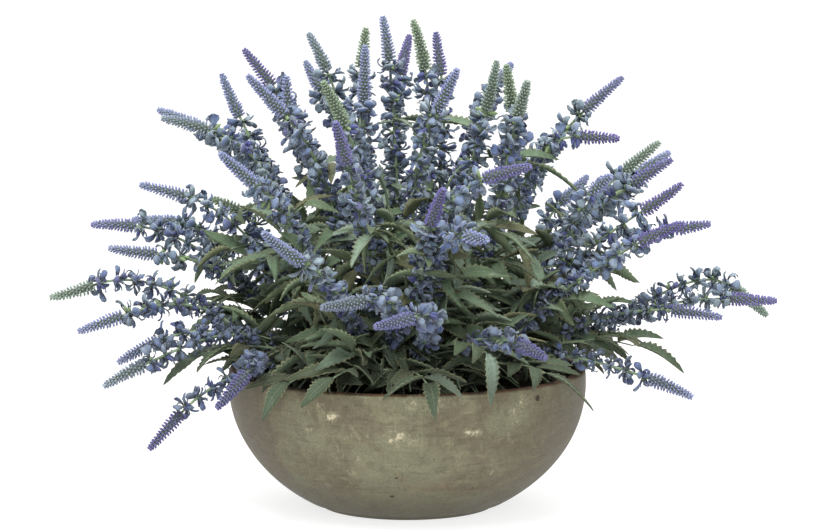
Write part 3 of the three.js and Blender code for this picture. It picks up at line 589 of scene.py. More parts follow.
ROOT_DEPTH = 16
NECK_LEAN_SHARE = 0.9  # the neck of a spike leans a little less than its tip
LEAF_REACH = 72  # from a leafy stem's own end out to the tip of its end leaf
LEAF_FALL = 20
LEAFY_END_LIFT = 0.2  # how steeply a leafy stem ends
CROWN_RADIUS = 108
CROWN_LIMIT = 120
FARTHEST_REACH = 310
FOOT_SPACING = 10.5
SPACING_ROUNDS = 60
FORK_AT = 0.42
FOOT_PULL, NECK_PULL = 0.36, 0.3  # how far the arch keeps to its first and its last heading, in spans
USUAL_LIFT = 0.45  # how steeply a stem leaves the soil
LOW_LIFT = 1.5  # how much more a low one does, which arches over the rim
LOW_FROM, LOW_OVER = 175, 75  # the height of neck below which this comes in, and over how much
BENDS = [0, 7, -7, 14, -14, 22, -22, 30, -30, 40, -40]  # sideways, that a stem may take to pass others
WHORL_SPACING = 26
TOP_WHORL = 7
WHORL_HALF_HEIGHT = 2.6
SOLID_WHORLS = (4, 2)  # at most, on a leader's solid and on a branch's
SOLID_CORNERS = (0.35, 0.7)  # where a solid's stem has its corners below its whorls
BARE = (64, 16)  # the lowest stretch of a leader and of a branch
LOWER_LEAF_AT = 0.6
LOWER_LEAF_FORWARD, LOWER_LEAF_LIFT = 0.35, 0.25  # how far its rib follows the stem and rises
ARCH_PARTS = 200


def draw(stem, piece, use):
    """A repeatable draw from 0 to 1 for one use on one piece of one stem."""
    seed = ((stem + 1) * 374761393) ^ ((piece + 1) * 668265263) ^ ((use + 1) * 1442695041)
    seed &= 0xFFFFFFFF
    mixed = ((seed ^ (seed >> 13)) * 1274126177) & 0xFFFFFFFF
    return (mixed ^ (mixed >> 16)) / 4294967296


def part_way(ends, share):
    return ends[0] + (ends[1] - ends[0]) * share


def within_one(share):
    return min(1, max(0, share))


def place_of(across, up, lean):
    farther = (VIEW_DISTANCE + lean) / VIEW_DISTANCE
    return Vector((across * farther, lean, up - lean * math.tan(math.radians(VIEW_RISE))))


class StemLine:
    """A stem's line: straight in the soil, then an arch to the neck, then straight on along the spike."""

    def __init__(self, start, leaving, neck, tip, bend):
        span = (neck - start).length
        painted_side_shade = (neck - start).cross(UP).normalized() * bend
        self.spike = (tip - neck).normalized()
        self.spike_length = (tip - neck).length
        low = start + leaving * span * FOOT_PULL + painted_side_shade
        high = neck - self.spike * span * NECK_PULL + painted_side_shade
        self.root = (low - start).normalized()
        self.corners = (start, low, high, neck)
        spots = [self.arch(i / ARCH_PARTS) for i in range(ARCH_PARTS + 1)]
        self.reached = [0.0]
        for before, after in zip(spots, spots[1:]):
            self.reached.append(self.reached[-1] + (after - before).length)
        self.length = self.reached[-1]

    def arch(self, t):
        a, b, c, d = self.corners
        return a * (1 - t) ** 3 + b * 3 * t * (1 - t) ** 2 + c * 3 * t * t * (1 - t) + d * t**3

    def heading(self, t):
        a, b, c, d = self.corners
        return ((b - a) * (1 - t) ** 2 + (c - b) * 2 * t * (1 - t) + (d - c) * t * t).normalized()

    def at(self, distance):
        """The point at a distance from the foot, and the heading there."""
        if distance <= 0:
            return self.corners[0] + self.root * distance, self.root
        if distance >= self.length:
            return self.corners[3] + self.spike * (distance - self.length), self.spike
        part = max(i for i in range(ARCH_PARTS) if self.reached[i] <= distance)
        left = (distance - self.reached[part]) / (self.reached[part + 1] - self.reached[part])
        t = (part + left) / ARCH_PARTS
        return self.arch(t), self.heading(t)

    def points(self, distances):
        return [self.at(distance)[0] for distance in distances]


def leaving_towards(start, goal):
    lift = USUAL_LIFT + LOW_LIFT * within_one((LOW_FROM - goal.z) / LOW_OVER)
    return ((goal - start).normalized() + UP * lift).normalized()


def stem_feet(goals):
    """The feet of all stems: each on the side that its stem leans to, and all pushed apart."""
    feet = []
    for stem, goal in enumerate(goals):
        reach = min(1, math.hypot(goal.x, goal.y) / FARTHEST_REACH)
        out = CROWN_RADIUS * reach * (0.9 + 0.1 * draw(stem, 0, 9))
        feet.append(Vector((goal.x, goal.y, 0)).normalized() * out)
    for _ in range(SPACING_ROUNDS):
        for i, foot in enumerate(feet):
            for other in feet[i + 1:]:
                apart = foot - other
                short = FOOT_SPACING - apart.length
                if short > 0:
                    apart = apart.normalized() * (short / 2)
                    foot += apart
                    other -= apart
            if foot.length > CROWN_LIMIT:
                foot *= CROWN_LIMIT / foot.length
    return [Vector((foot.x, foot.y, soil_height_at(foot.length))) for foot in feet]


def lowest_whorl(line, branch):
    """Where the whorls of a stem's solid end below."""
    count = 0
    distance = line.length - TOP_WHORL
    while distance > BARE[branch] and count < SOLID_WHORLS[branch]:
        count += 1
        distance -= WHORL_SPACING
    return distance + WHORL_SPACING - WHORL_HALF_HEIGHT if count else line.length


def solid_corners(node):
    return [vertex.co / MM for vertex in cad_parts[node].data.vertices]


def as_built(line_for, node, corners_of):
    """The line with the bend that the stem's solid has."""
    faces = [tuple(face.vertices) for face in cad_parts[node].data.polygons]
    surface = BVHTree.FromPolygons(solid_corners(node), faces)

    def stray(line):
        return sum(surface.find_nearest(point)[3] for point in line.points(corners_of(line)))

    return min((line_for(bend) for bend in BENDS), key=stray)


def flower_lines(stem, foot, rows):
    lines = []
    for branch, (neck_across, neck_up, tip_across, tip_up, lean, _) in enumerate(rows):
        neck = place_of(neck_across, neck_up, lean * NECK_LEAN_SHARE)
        tip = place_of(tip_across, tip_up, lean)
        start, leaving = foot, leaving_towards(foot, neck)
        if branch:
            start, leaving = lines[0].at(lines[0].length * FORK_AT)
        kind = min(branch, 1)
        lines.append(as_built(lambda bend: StemLine(start, leaving, neck, tip, bend),
                              f"flowering_stem_{stem + 1:02d}",
                              lambda line: [lowest_whorl(line, kind) * share for share in SOLID_CORNERS]))
    return lines


def leafy_end(row):
    """Which way a leafy stem's end leaf reaches, and where the stem itself ends."""
    tip = place_of(*row)
    out = Vector((tip.x, tip.y, 0)).normalized()
    return out, tip - out * LEAF_REACH + UP * LEAF_FALL


def leafy_line(index, foot, out, point):
    beyond = point + out + UP * LEAFY_END_LIFT
    return as_built(lambda bend: StemLine(foot, leaving_towards(foot, point), point, beyond, bend),
                    f"leafy_stem_{index + 1:02d}",
                    lambda line: [line.length * LOWER_LEAF_AT / 2, line.length * (1 + LOWER_LEAF_AT) / 2])


leafy_ends = [leafy_end(row) for row in LEAFY_STEMS]
goals = [place_of(rows[0][0], rows[0][1], rows[0][4] * NECK_LEAN_SHARE) for rows in FLOWERING_STEMS]
goals += [point for _, point in leafy_ends]
feet = stem_feet(goals)
flowering_lines = [flower_lines(stem, feet[stem], rows) for stem, rows in enumerate(FLOWERING_STEMS)]
leafy_lines = [leafy_line(i, feet[len(FLOWERING_STEMS) + i], *end) for i, end in enumerate(leafy_ends)]


# The leafy stems
#
# Thin stalks among the flowering stems, each with compound leaves: lance-shaped, toothed leaflets in
# pairs on a rib and one at its end. The leaves are matte sage green, paler on the ribs, yellowish at the
# edges and browner underneath.

STEM_SIDES = 6
LEAFY_SEED = 900  # of the first leafy stem
STEM_STEP = 7
STALK_RADIUS = (1.5, 1.1)  # at the foot and at the end
RIB_RADII = (1.0, 0.8, 0.65, 0.55)
LEAFLET_LENGTH = 47
LEAFLET_WIDTH = 15
SIDE_LEAFLET_SHARE = 0.86
LEAFLET_SPREAD = 50
LEAFLET_DROOP = 0.22
LEAF_THICKNESS = 0.9
LEAFLET_ACROSS = (-1, -0.4, 0.4, 1)  # places across a leaflet
LEAFLET_RIPPLE = 0.35
LEAF_TEETH = 8  # on each side
TEETH_FROM, TEETH_SPAN = 0.1, 0.8  # the toothed stretch of a leaflet's edge
TOOTH_DEPTH = 0.25
RIB_DROOP = 0.55
RIB_TURNS = [0, 20, -20, 40, -40, 60, -60, 90, -90]
END_LEAF_STEPS = [9, 19, 13]
LOWER_LEAF_STEPS = [12, 13]
LEAFLET_TURNS = [0, -22, 22, -44, 44, 66, -66]
LEAFLET_SIZES = [1, 0.8, 0.64]
SOLID_RIB_RADIUS = 0.6
SAME_PLACE = 0.05  # how near a corner of the solid has to be

# More leaves than the solids have: share up the stem, steps along the rib, and size
MORE_LEAVES = [(0.3, [12, 12, 10], 0.88), (0.46, [12, 14, 11], 0.98), (0.66, [12, 13, 11], 1.0),
               (0.76, [11, 14], 0.96), (0.84, [12, 13, 10], 1.0), (0.9, [10, 12], 0.9)]
LEAVES_UP_TO = 252
LEAVES_OUT_TO = 152
CLEAR_NECKS = (230, -40)  # stems whose necks stand lower and further forward than this show their flowers
CLEAR_REACHES = (12, 26, 40)  # how far in front of these flowers room is kept free
CLEAR_RISE = 0.4  # how steeply this room rises forwards
CLEAR_STEP = 8
CLEAR_ROOM = 11
MORE_TURNS = [0, 40, -40, 80, -80, 120, -120, 160]
MORE_LIFTS = (-0.1, 1.5)  # how steeply a leaf leaves its stem
MORE_ROLL = 110  # degrees, over which the leaves are rolled about their ribs
MORE_DROOP = 1.0
MORE_LIMP = 1.3  # how far the leaflets droop, against the solids'
ENOUGH_ROOM = 12
RIM_ROOM = 9
SOIL_ROOM = 2
ROOM_AT = (0.5, 1)  # shares along a leaflet
CROWD_AT = (0.3, 0.6, 0.9)
CROWD_STEP = 6  # along a stem

# One leaf of each leafy stem arches over the bowl's rim on either side: where it leaves its stem, how
# steeply, where its rib ends, and how far it turns down by there
RIM_LEAF_AT = 0.14
RIM_LEAF_LIFT = 0.6
RIM_LEAF_REACH = 138
RIM_LEAF_FALL = 62
RIM_LEAF_TURNS = (-16, 18)
RIM_LEAF_STEPS = 4
RIM_LEAF_STEP = 9  # at least
RIM_LEAF_ROLL = 50
RIM_LEAF_SIZE = 0.95
RIM_LEAF_LIMP = 2.0

# Forms of leaflet: droop at the tip as a share of its length, slope of its folded halves, sideways curl in
# half widths, and twist to the tip in degrees
LEAFLET_FORMS = [
    (0.06, 0.3, 0.4, 24), (0.12, 0.6, -0.6, -40), (0.18, 0.4, 0.3, 56), (0.24, 0.8, 0.9, -34),
    (0.3, 0.5, -0.9, 52), (0.38, 0.85, 0.8, -66), (0.48, 0.7, -0.7, 58),
]

# What each point of a starting mesh keeps for the node trees, with its kind and its usual value
KEPT_FOR_TREES = {
    "zone": ("INT", 0), "girth": ("FLOAT", 0.0), "share": ("FLOAT", 0.0), "bloom": ("FLOAT", 0.0),
    "forward": ("FLOAT_VECTOR", (0.0, 1.0, 0.0)), "upward": ("FLOAT_VECTOR", (0.0, 0.0, 1.0)),
    "size": ("FLOAT_VECTOR", (0.0, 0.0, 0.0)), "form": ("INT", 0),
}
STALKS, LEAFLETS, WHORLS, SPIKES = range(4)  # zones of a stem's starting mesh
GREEN, LEAF, PETAL, SPIKE = range(4)  # numbers of the finishes


class Strands:
    """The starting mesh of a stem: lines that become stalks, whorls and spikes, and feet of leaflets."""

    def __init__(self):
        self.points, self.edges = [], []
        self.kept = {name: [] for name in KEPT_FOR_TREES}

    def add_points(self, points, **values):
        self.points += points
        for name, (_, usual) in KEPT_FOR_TREES.items():
            given = values.get(name, usual)
            self.kept[name] += given if isinstance(given, list) else [given] * len(points)

    def add_line(self, zone, points, girths, bloom=0.0):
        first, last = len(self.points), len(points) - 1
        self.edges += [(first + i, first + i + 1) for i in range(last)]
        self.add_points(points, zone=zone, girth=[girth * MM for girth in girths],
                        share=[i / last for i in range(last + 1)], bloom=bloom)

    def add_stalk(self, line, low, radii):
        distances = steps_between(low, line.length + 1, STEM_STEP)
        self.add_line(STALKS, line.points(distances),
                      [part_way(radii, within_one(distance / line.length)) for distance in distances])

    def add_leaves(self, leaves):
        for rib, leaflets in leaves:
            self.add_line(STALKS, [spot[0] for spot in rib],
                          [RIB_RADII[min(i, len(RIB_RADII) - 1)] for i in range(len(rib))])
            self.add_points(
                [leaflet.foot for leaflet in leaflets], zone=LEAFLETS,
                forward=[tuple(leaflet.forward) for leaflet in leaflets],
                upward=[tuple(leaflet.normal) for leaflet in leaflets],
                size=[tuple(leaflet.size() * MM) for leaflet in leaflets],
                form=[leaflet.form() for leaflet in leaflets])

    def mesh(self, name):
        made = mesh_of(name, self.points, [], self.edges)
        for key, (kind, _) in KEPT_FOR_TREES.items():
            store(made, key, kind, self.kept[key])
        return made


def thin_shape(rows, thickness):
    """A closed thin shape over rows of points that run from edge to edge. Both faces share the border.
    It gives the points, the faces, and for each point its row, its place in the row, and its side: 1
    above, -1 below and 0 on the border."""
    last, edge = len(rows) - 1, len(rows[0]) - 1
    over, under = {}, {}
    points, faces, marks = [], [], []
    for i, row in enumerate(rows):
        for j, point in enumerate(row):
            if i in (0, last) or j in (0, edge):
                over[i, j] = under[i, j] = len(points)
                points.append(point.copy())
                marks.append((i, j, 0))
                continue
            along = rows[i + 1][j] - rows[i - 1][j]
            across = row[j + 1] - row[j - 1]
            normal = across.cross(along).normalized() * (thickness / 2)
            over[i, j], under[i, j] = len(points), len(points) + 1
            points += [point + normal, point - normal]
            marks += [(i, j, 1), (i, j, -1)]
    for i in range(last):
        for j in range(edge):
            faces.append((over[i, j], over[i, j + 1], over[i + 1, j + 1], over[i + 1, j]))
            faces.append((under[i, j], under[i + 1, j], under[i + 1, j + 1], under[i, j + 1]))
    return points, faces, marks


def tidied(mesh):
    """Merges points that coincide and turns all faces outwards."""
    form = bmesh.new()
    form.from_mesh(mesh)
    bmesh.ops.remove_doubles(form, verts=form.verts, dist=1e-6)
    bmesh.ops.recalc_face_normals(form, faces=form.faces)
    form.to_mesh(mesh)
    form.free()
    return mesh


def leaflet_stations():
    """Places along a leaflet, from 0 to 1, and half its width there, up to 1. Each tooth is a notch and a
    point."""
    places = [(0.0, 0), (0.05, 0)]
    for tooth in range(LEAF_TEETH):
        start = TEETH_FROM + TEETH_SPAN * tooth / LEAF_TEETH
        places += [(start, TOOTH_DEPTH), (start + 0.7 * TEETH_SPAN / LEAF_TEETH, 0)]
    places += [(0.95, 0), (1.0, 0)]
    stations = []
    for along, notch in places:
        half = math.sin(math.pi * along**0.74) ** 0.78 if 0 < along < 1 else 0
        stations.append((along, max(half * (1 - notch), 0.05 if along < 1 else 0.01)))
    return stations


def leaflet_mesh(name, droop, fold, curl, twist):
    """A leaflet one long and two wide, as an instance's scale takes it."""
    wide, long = LEAFLET_WIDTH / 2, LEAFLET_LENGTH
    rows = []
    for along, half in leaflet_stations():
        turn = math.radians(twist) * along
        row = []
        for across in LEAFLET_ACROSS:
            side = across * half * wide
            lift = abs(side) * fold + LEAFLET_RIPPLE * math.sin(13 * along + 2 * across) * abs(across)
            x = side * math.cos(turn) - lift * math.sin(turn) + curl * wide * along**2
            z = side * math.sin(turn) + lift * math.cos(turn) - droop * long * along**2
            row.append(Vector((x / wide, along, z / long)))
        rows.append(row)
    points, faces, marks = thin_shape(rows, LEAF_THICKNESS / long)
    mesh = mesh_of(name, [point / MM for point in points], faces)
    store(mesh, "blade", "FLOAT_VECTOR", [(LEAFLET_ACROSS[j], rows[i][j].y, side) for i, j, side in marks])
    return tidied(mesh)


def painted_shade_inside(tree, place, reach, height):
    """Goes from 0 to 1 towards the middle and downwards, over a range of metres for each: painted shade,
    where stems and leaves shut the light out."""
    spread = parts_of(tree, place)
    flat = output_of(tree, "ShaderNodeCombineXYZ", {0: spread["X"], 1: spread["Y"]})
    middle = output_of(tree, "ShaderNodeVectorMath", {0: flat}, "Value", operation="LENGTH")
    return figure(tree, "MULTIPLY", rise(tree, middle, *reach), rise(tree, spread["Z"], *height))


def leaf_cloth():
    finish, tree, place = new_finish("sage_leaves", specular_ior_level=0.3, sheen_weight=0.04)
    blade = parts_of(tree, kept(tree, "blade", "Vector"))
    across = figure(tree, "ABSOLUTE", blade["X"])
    tint = kept(tree, "tint")
    drift = grain(tree, place, 34, 4, 0.6)
    mottle = grain(tree, place, 9, 3, 0.55)
    fine = grain(tree, place, 0.8, 2, 0.6)
    # Side veins leave the rib at an angle, forwards
    phase = figure(tree, "MULTIPLY_ADD", across, -5.0, figure(tree, "MULTIPLY", blade["Y"], 48.0))
    vein = rise(tree, figure(tree, "SINE", phase), 0.8, 1.0)
    rib = rise(tree, across, 0.09, 0.02)
    colour = layered(
        tree, (70, 84, 60),
        (tint, 0.1, 0.65, 1, (94, 115, 89)),
        (tint, 0.7, 1.0, 0.85, (134, 152, 137)),
        (tint, 0.11, 0.09, 0.6, (92, 88, 60)),
        (drift, 0.54, 0.72, 0.4, (86, 96, 70)),
        (mottle, 0.52, 0.75, 0.3, (62, 73, 56)),
        (mottle, 0.46, 0.25, 0.3, (138, 153, 136)),
        (blade["Z"], 0.0, -0.9, 0.35, (88, 92, 68)),
        # Painted shade: those low inside and at the rim are darker, where the others shade them
        (painted_shade_inside(tree, place, (0.17, 0.12), (0.185, 0.135)), 0.6, (34, 42, 29)),
        (parts_of(tree, place)["Z"], 0.158, 0.125, 0.7, (44, 52, 38)),
        (vein, 0.08, (144, 156, 126)),
        (rib, 0.25, (150, 160, 126)),
        (across, 0.76, 1.0, 0.6, (158, 158, 118)))
    relief = summed(tree, (vein, 0.5), (rib, 0.8), (fine, 0.3))
    return finished(finish, colour, rise(tree, mottle, 0.3, 0.7, 0.62, 0.82), relief, 0.5)


def stem_skin():
    finish, tree, place = new_finish("green_stem", specular_ior_level=0.3)
    patches = grain(tree, place, 26, 4, 0.6)
    fine = grain(tree, place, 0.9, 3, 0.6, 0, (1, 1, 0.3))
    colour = layered(
        tree, (96, 113, 96),
        (patches, 0.35, 0.6, 1, (134, 152, 122)),
        (patches, 0.6, 0.7, 0.7, (108, 142, 74)),
        (fine, 0.5, 0.75, 0.5, (76, 88, 68)))
    return finished(finish, colour, rise(tree, fine, 0.3, 0.7, 0.6, 0.78), fine, 0.25)


def zone_part(tree, shape, zone):
    values = {"Geometry": shape, "Selection": equals(tree, read(tree, "zone", "INT"), zone)}
    return output_of(tree, "GeometryNodeSeparateGeometry", values, domain="POINT")


def zone_curves(tree, shape, zone):
    return output_of(tree, "GeometryNodeMeshToCurve", {"Mesh": zone_part(tree, shape, zone)})


def round_tube(tree, curves, sides, width=1.0):
    ring = output_of(tree, "GeometryNodeCurvePrimitiveCircle", {"Resolution": sides, "Radius": 1.0})
    girth = figure(tree, "MULTIPLY", read(tree, "girth"), width)
    return output_of(tree, "GeometryNodeCurveToMesh",
                     {"Curve": curves, "Profile Curve": ring, "Scale": girth, "Fill Caps": True})


def tinted(tree, shapes, seed, use=0):
    return with_value(tree, shapes, "tint", chance(tree, 0.0, 1.0, seed, use), "FLOAT", "INSTANCE")


def leafy_parts(tree, given):
    """The stalks and ribs of a stem, and its leaflets."""
    stalks = round_tube(tree, zone_curves(tree, given["Geometry"], STALKS), given["Stem Sides"])
    forms = [leaflet_mesh(f"leaflet_{i}", *form) for i, form in enumerate(LEAFLET_FORMS)]
    ways = {i: read(tree, name, "FLOAT_VECTOR") for i, name in enumerate(("forward", "upward"))}
    rotation = output_of(tree, "FunctionNodeAxesToRotation", ways, primary_axis="Y", secondary_axis="Z")
    leaflets = zone_part(tree, given["Geometry"], LEAFLETS)
    leaflets = repeated(tree, leaflets, choice_of(tree, "leaflets", forms), read(tree, "form", "INT"),
                        rotation, read(tree, "size", "FLOAT_VECTOR"))
    return [with_value(tree, stalks, "finish", GREEN, "INT"),
            with_value(tree, tinted(tree, leaflets, given["Seed"]), "finish", LEAF, "INT", "INSTANCE")]


class Leaflet:
    """A leaflet's foot, forward and upward directions, and its size, on one side of a rib or at its end."""

    def __init__(self, spot, hand, turn, size, stem, piece, limp=1.0):
        self.foot, along, side, upward = spot
        spread = math.radians(hand * LEAFLET_SPREAD * (0.85 + 0.3 * draw(stem, piece, 2)))
        turned = Quaternion(along if hand else side, math.radians((hand or 1) * turn))
        self.forward = turned @ (along * math.cos(spread) + side * math.sin(spread))
        self.normal = turned @ upward
        scale = size * (SIDE_LEAFLET_SHARE if hand else 1) * (0.88 + 0.24 * draw(stem, piece, 1))
        self.length, self.width = LEAFLET_LENGTH * scale, LEAFLET_WIDTH * scale
        self.droop = LEAFLET_DROOP * limp * (0.5 + draw(stem, piece, 3))

    def middle(self, along):
        return self.foot + (self.forward * along - self.normal * self.droop * along * along) * self.length

    def size(self):
        return Vector((self.width / 2, self.length, self.length))

    def form(self):
        return min(range(len(LEAFLET_FORMS)), key=lambda i: abs(LEAFLET_FORMS[i][0] - self.droop))


def middles(leaflets, shares):
    return [leaflet.middle(share) for leaflet in leaflets for share in shares]


def rib_spots(foot, forward, steps, roll=0.0, droop=RIB_DROOP):
    """Places along a rib that droops evenly, by so many degrees a millimetre: point, heading, side and
    upward."""
    level = forward.cross(UP).normalized()
    places = [(foot, forward)]
    for step in steps:
        point, along = places[-1]
        along = Quaternion(level, -math.radians(droop * step)) @ along
        places.append((point + along * step, along))
    spots = []
    for point, along in places:
        side = Quaternion(along, math.radians(roll)) @ level
        spots.append((point, along, side, side.cross(along)))
    return spots


def turned_about_up(way, degrees):
    return Quaternion(UP, math.radians(degrees)) @ way


def near_finder(points):
    tree = kdtree.KDTree(len(points))
    for i, point in enumerate(points):
        tree.insert(point, i)
    tree.balance()
    return tree


def lower_leaf_start(line, stem):
    """The foot of the lower leaf of a leafy stem, and the way its rib leaves."""
    point, along = line.at(line.length * LOWER_LEAF_AT)
    hand = -1 if draw(stem, 0, 5) < 0.5 else 1
    away = along.cross(UP).normalized() * hand + along * LOWER_LEAF_FORWARD
    away.z = LOWER_LEAF_LIFT
    return point, away.normalized()


def leaf_as_built(corners, foot, forward, steps, stem, leaf):
    """A leaf's rib and leaflets, with the turns and sizes that the solid has."""
    ribs = [rib_spots(foot, turned_about_up(forward, turn), steps) for turn in RIB_TURNS]
    rib = min(ribs, key=lambda spots: corners.find(spots[1][0] + spots[1][3] * SOLID_RIB_RADIUS)[2])
    seats = [(spot, hand, leaf * 10 + i * 2 + (hand > 0)) for i, spot in enumerate(rib[1:-1])
             for hand in (-1, 1)]
    leaflets = []
    for spot, hand, piece in [*seats, (rib[-1], 0, leaf * 10 + 9)]:
        tries = [Leaflet(spot, hand, turn, size, stem, piece)
                 for size in LEAFLET_SIZES for turn in LEAFLET_TURNS]
        best = min(tries, key=lambda leaflet: corners.find(leaflet.middle(1))[2])
        if corners.find(best.middle(1))[2] < SAME_PLACE:
            leaflets.append(best)
    return rib, leaflets


def rib_leaflets(rib, size, stem, leaf, limp):
    """Leaflets in pairs along a rib, each turned a little its own way, and one at its end."""
    leaflets = []
    for i, spot in enumerate(rib[1:]):
        for hand in (0,) if i == len(rib) - 2 else (-1, 1):
            piece = leaf * 10 + i * 2 + (hand > 0)
            leaflets.append(Leaflet(spot, hand, 60 * (draw(stem, piece, 6) - 0.5), size, stem, piece, limp))
    return leaflets


def touches_bowl(spot, room):
    """Whether a spot is in the soil, or within some room of the bowl's wall."""
    across = math.hypot(spot.x, spot.y)
    near_wall = abs(across - BOWL_RADIUS + BOWL_WALL / 2) < BOWL_WALL / 2 + room
    return spot.z < BOWL_HEIGHT + room and near_wall or spot.z < soil_height_at(across) + SOIL_ROOM


def rim_leaf(line, turn, stem, leaf):
    """A leaf that arches out over the bowl's rim. Leaflets that would touch the wall are left out."""
    foot = line.at(line.length * RIM_LEAF_AT)[0]
    across = math.hypot(foot.x, foot.y)
    out = turned_about_up(Vector((foot.x, foot.y, 0)) / across, turn)
    step = max(RIM_LEAF_STEP, (RIM_LEAF_REACH - across) / RIM_LEAF_STEPS)
    rib = rib_spots(foot, (out + UP * RIM_LEAF_LIFT).normalized(), [step] * RIM_LEAF_STEPS,
                    RIM_LEAF_ROLL * (draw(stem, leaf, 14) - 0.5), RIM_LEAF_FALL / (RIM_LEAF_STEPS * step))
    leaflets = [leaflet for leaflet in rib_leaflets(rib, RIM_LEAF_SIZE, stem, leaf, RIM_LEAF_LIMP)
                if not any(touches_bowl(spot, 2) for spot in middles([leaflet], (0.3, 0.5, 0.7, 0.85, 1)))]
    return rib, leaflets


def clear_spots():
    """Spots to keep free of more leaves, in front of and above the flowers of the low stems in front."""
    spots = []
    for lines in flowering_lines:
        for branch, line in enumerate(lines):
            neck = line.at(line.length)[0]
            if neck.z > CLEAR_NECKS[0] or neck.y > CLEAR_NECKS[1]:
                continue
            for point in line.points(steps_between(BARE[min(branch, 1)], line.length, CLEAR_STEP)):
                spots += [point + Vector((0, -reach, CLEAR_RISE * reach)) for reach in CLEAR_REACHES]
    return spots


def more_leaf(crowd, foot, steps, size, stem, leaf):
    """One more leaf, turned to where it has most room, clear of the bowl's rim, of the soil and of the
    flowers in front. It gives nothing where no turn is clear."""
    first_turn = 360 * draw(stem, leaf, 11)
    lift = part_way(MORE_LIFTS, draw(stem, leaf, 12))
    roll = MORE_ROLL * (draw(stem, leaf, 13) - 0.5)

    def made(turn):
        forward = turned_about_up(Vector((1, 0, lift)), first_turn + turn).normalized()
        rib = rib_spots(foot, forward, steps, roll, MORE_DROOP)
        return rib, rib_leaflets(rib, size, stem, leaf, MORE_LIMP)

    def room(leaf_made):
        spots = middles(leaf_made[1], ROOM_AT)
        if any(touches_bowl(spot, RIM_ROOM) or in_front.find(spot)[2] < CLEAR_ROOM for spot in spots):
            return -1
        return sum(min(ENOUGH_ROOM, crowd.find(spot)[2]) for spot in spots)

    best = max((made(turn) for turn in MORE_TURNS), key=room)
    return best if room(best) >= 0 else None


def add_more_leaves(crowd_points, line, plan, stem, first_leaf):
    crowd = near_finder(crowd_points)
    leaves = []
    for i, (share, steps, size) in enumerate(plan):
        foot = line.at(line.length * share)[0]
        if foot.z > LEAVES_UP_TO or math.hypot(foot.x, foot.y) > LEAVES_OUT_TO:
            continue
        leaf = more_leaf(crowd, foot, steps, size, stem, first_leaf + i)
        if leaf:
            leaves.append(leaf)
            crowd_points += middles(leaf[1], CROWD_AT)
    return leaves


stem_green = stem_skin()
sage_leaf = leaf_cloth()
leafy_tree, given = new_tree("leafy_stem", {"Stem Sides": STEM_SIDES, "Seed": 1})
end_tree(leafy_tree, leafy_parts(leafy_tree, given), [stem_green, sage_leaf])

in_front = near_finder(clear_spots())
crowd_points = [point for lines in [*flowering_lines, leafy_lines] for line in lines
                for point in line.points(steps_between(0, line.length, CROWD_STEP))]
leaves_of_stem = []
for index, line in enumerate(leafy_lines):
    stem = len(FLOWERING_STEMS) + index
    corners = near_finder(solid_corners(f"leafy_stem_{index + 1:02d}"))
    leaves_of_stem.append([
        leaf_as_built(corners, *line.at(line.length - 0.5), END_LEAF_STEPS, stem, 0),
        leaf_as_built(corners, *lower_leaf_start(line, stem), LOWER_LEAF_STEPS, stem, 1),
    ])
    for _, leaflets in leaves_of_stem[-1]:
        crowd_points += middles(leaflets, CROWD_AT)
for index, line in enumerate(leafy_lines):
    number = f"{index + 1:02d}"
    stem = len(FLOWERING_STEMS) + index
    strands = Strands()
    strands.add_stalk(line, -ROOT_DEPTH, STALK_RADIUS)
    strands.add_leaves([*leaves_of_stem[index],
                        *[rim_leaf(line, turn, stem, 6 + i) for i, turn in enumerate(RIM_LEAF_TURNS)],
                        *add_more_leaves(crowd_points, line, MORE_LEAVES, stem, 2)])
    leafy = grown("leafy_" + number, strands.mesh("leafy_start_" + number), leafy_tree,
                  {"Seed": LEAFY_SEED + index})
    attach(leafy, "root")
    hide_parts("leafy_stem_" + number)


# The flowering stems
#
# Slender grey-green stems with leaves on their lower part, whorls of small two-lipped flowers and buds
# from the neck down, and a spike of closed buds in close rows at the end. Each stem, with its branches,
# is one growth; its petals are thin and slate blue, and its spikes colour from green to violet.

STEM_RADIUS = (1.35, 1.1)  # at the foot and at the neck
SEEDS_A_STEM = 20
WHORL_STEP = 13.5
FLOWERS_A_WHORL = 8
TOP_WHORL_GAP = 4  # between the highest flowers and the spike
FLOWER_TILTS = (40, 90)  # degrees from the stem
FLOWER_STRAY = 0.45  # radians round the stem
FLOWER_SIZES = (0.95, 1.32)
FLOWERS_ALONG = (1.02, 0.78)  # their size at the neck and at the lowest whorl
LOW_FLOWERS = (0.88, 140, 230)  # their size on low stems, and the neck heights over which it grows to 1
PETAL_THICKNESS = 0.4
SPIKE_RADIUS = (7.8, 3.4)  # over the buds, at the neck and at the tip
SPIKE_CORE = 0.5  # of that radius
SPIKE_PARTS = 12
WHORL_LINE_STEP = 6  # between points of the line that whorls stand on
ROW_STEP = 2.5
BUDS_A_ROW = 9
BUD_RADIUS = 0.88
BUD_LENGTHS = (0.9, 1.05)
BUD_TILTS = (82, 44)  # degrees between a bud and the spike, at the neck and at the tip
BUD_STRAY, BUD_TILT_STRAY = 0.06, 0.07  # radians
SPIKE_BOW = 3.4  # how far the tip of a spike bends from its line
SPIKE_ROWS_TO = 0.9  # the last row's foot, as a share of a spike, so that its buds end at the tip
STEM_LEAVES = [(0.18, [11, 12], 0.9), (0.29, [11, 12, 12, 10], 0.95), (0.41, [12, 13, 10], 0.95),
               (0.54, [10, 12], 0.84), (0.66, [10, 11], 0.8), (0.79, [9, 10], 0.76)]

CUP, LIP, BUD = range(3)  # kinds of the parts of a flower
BROAD, NARROW = (-1, -0.45, 0.45, 1), (-1, 0, 1)  # places across a petal

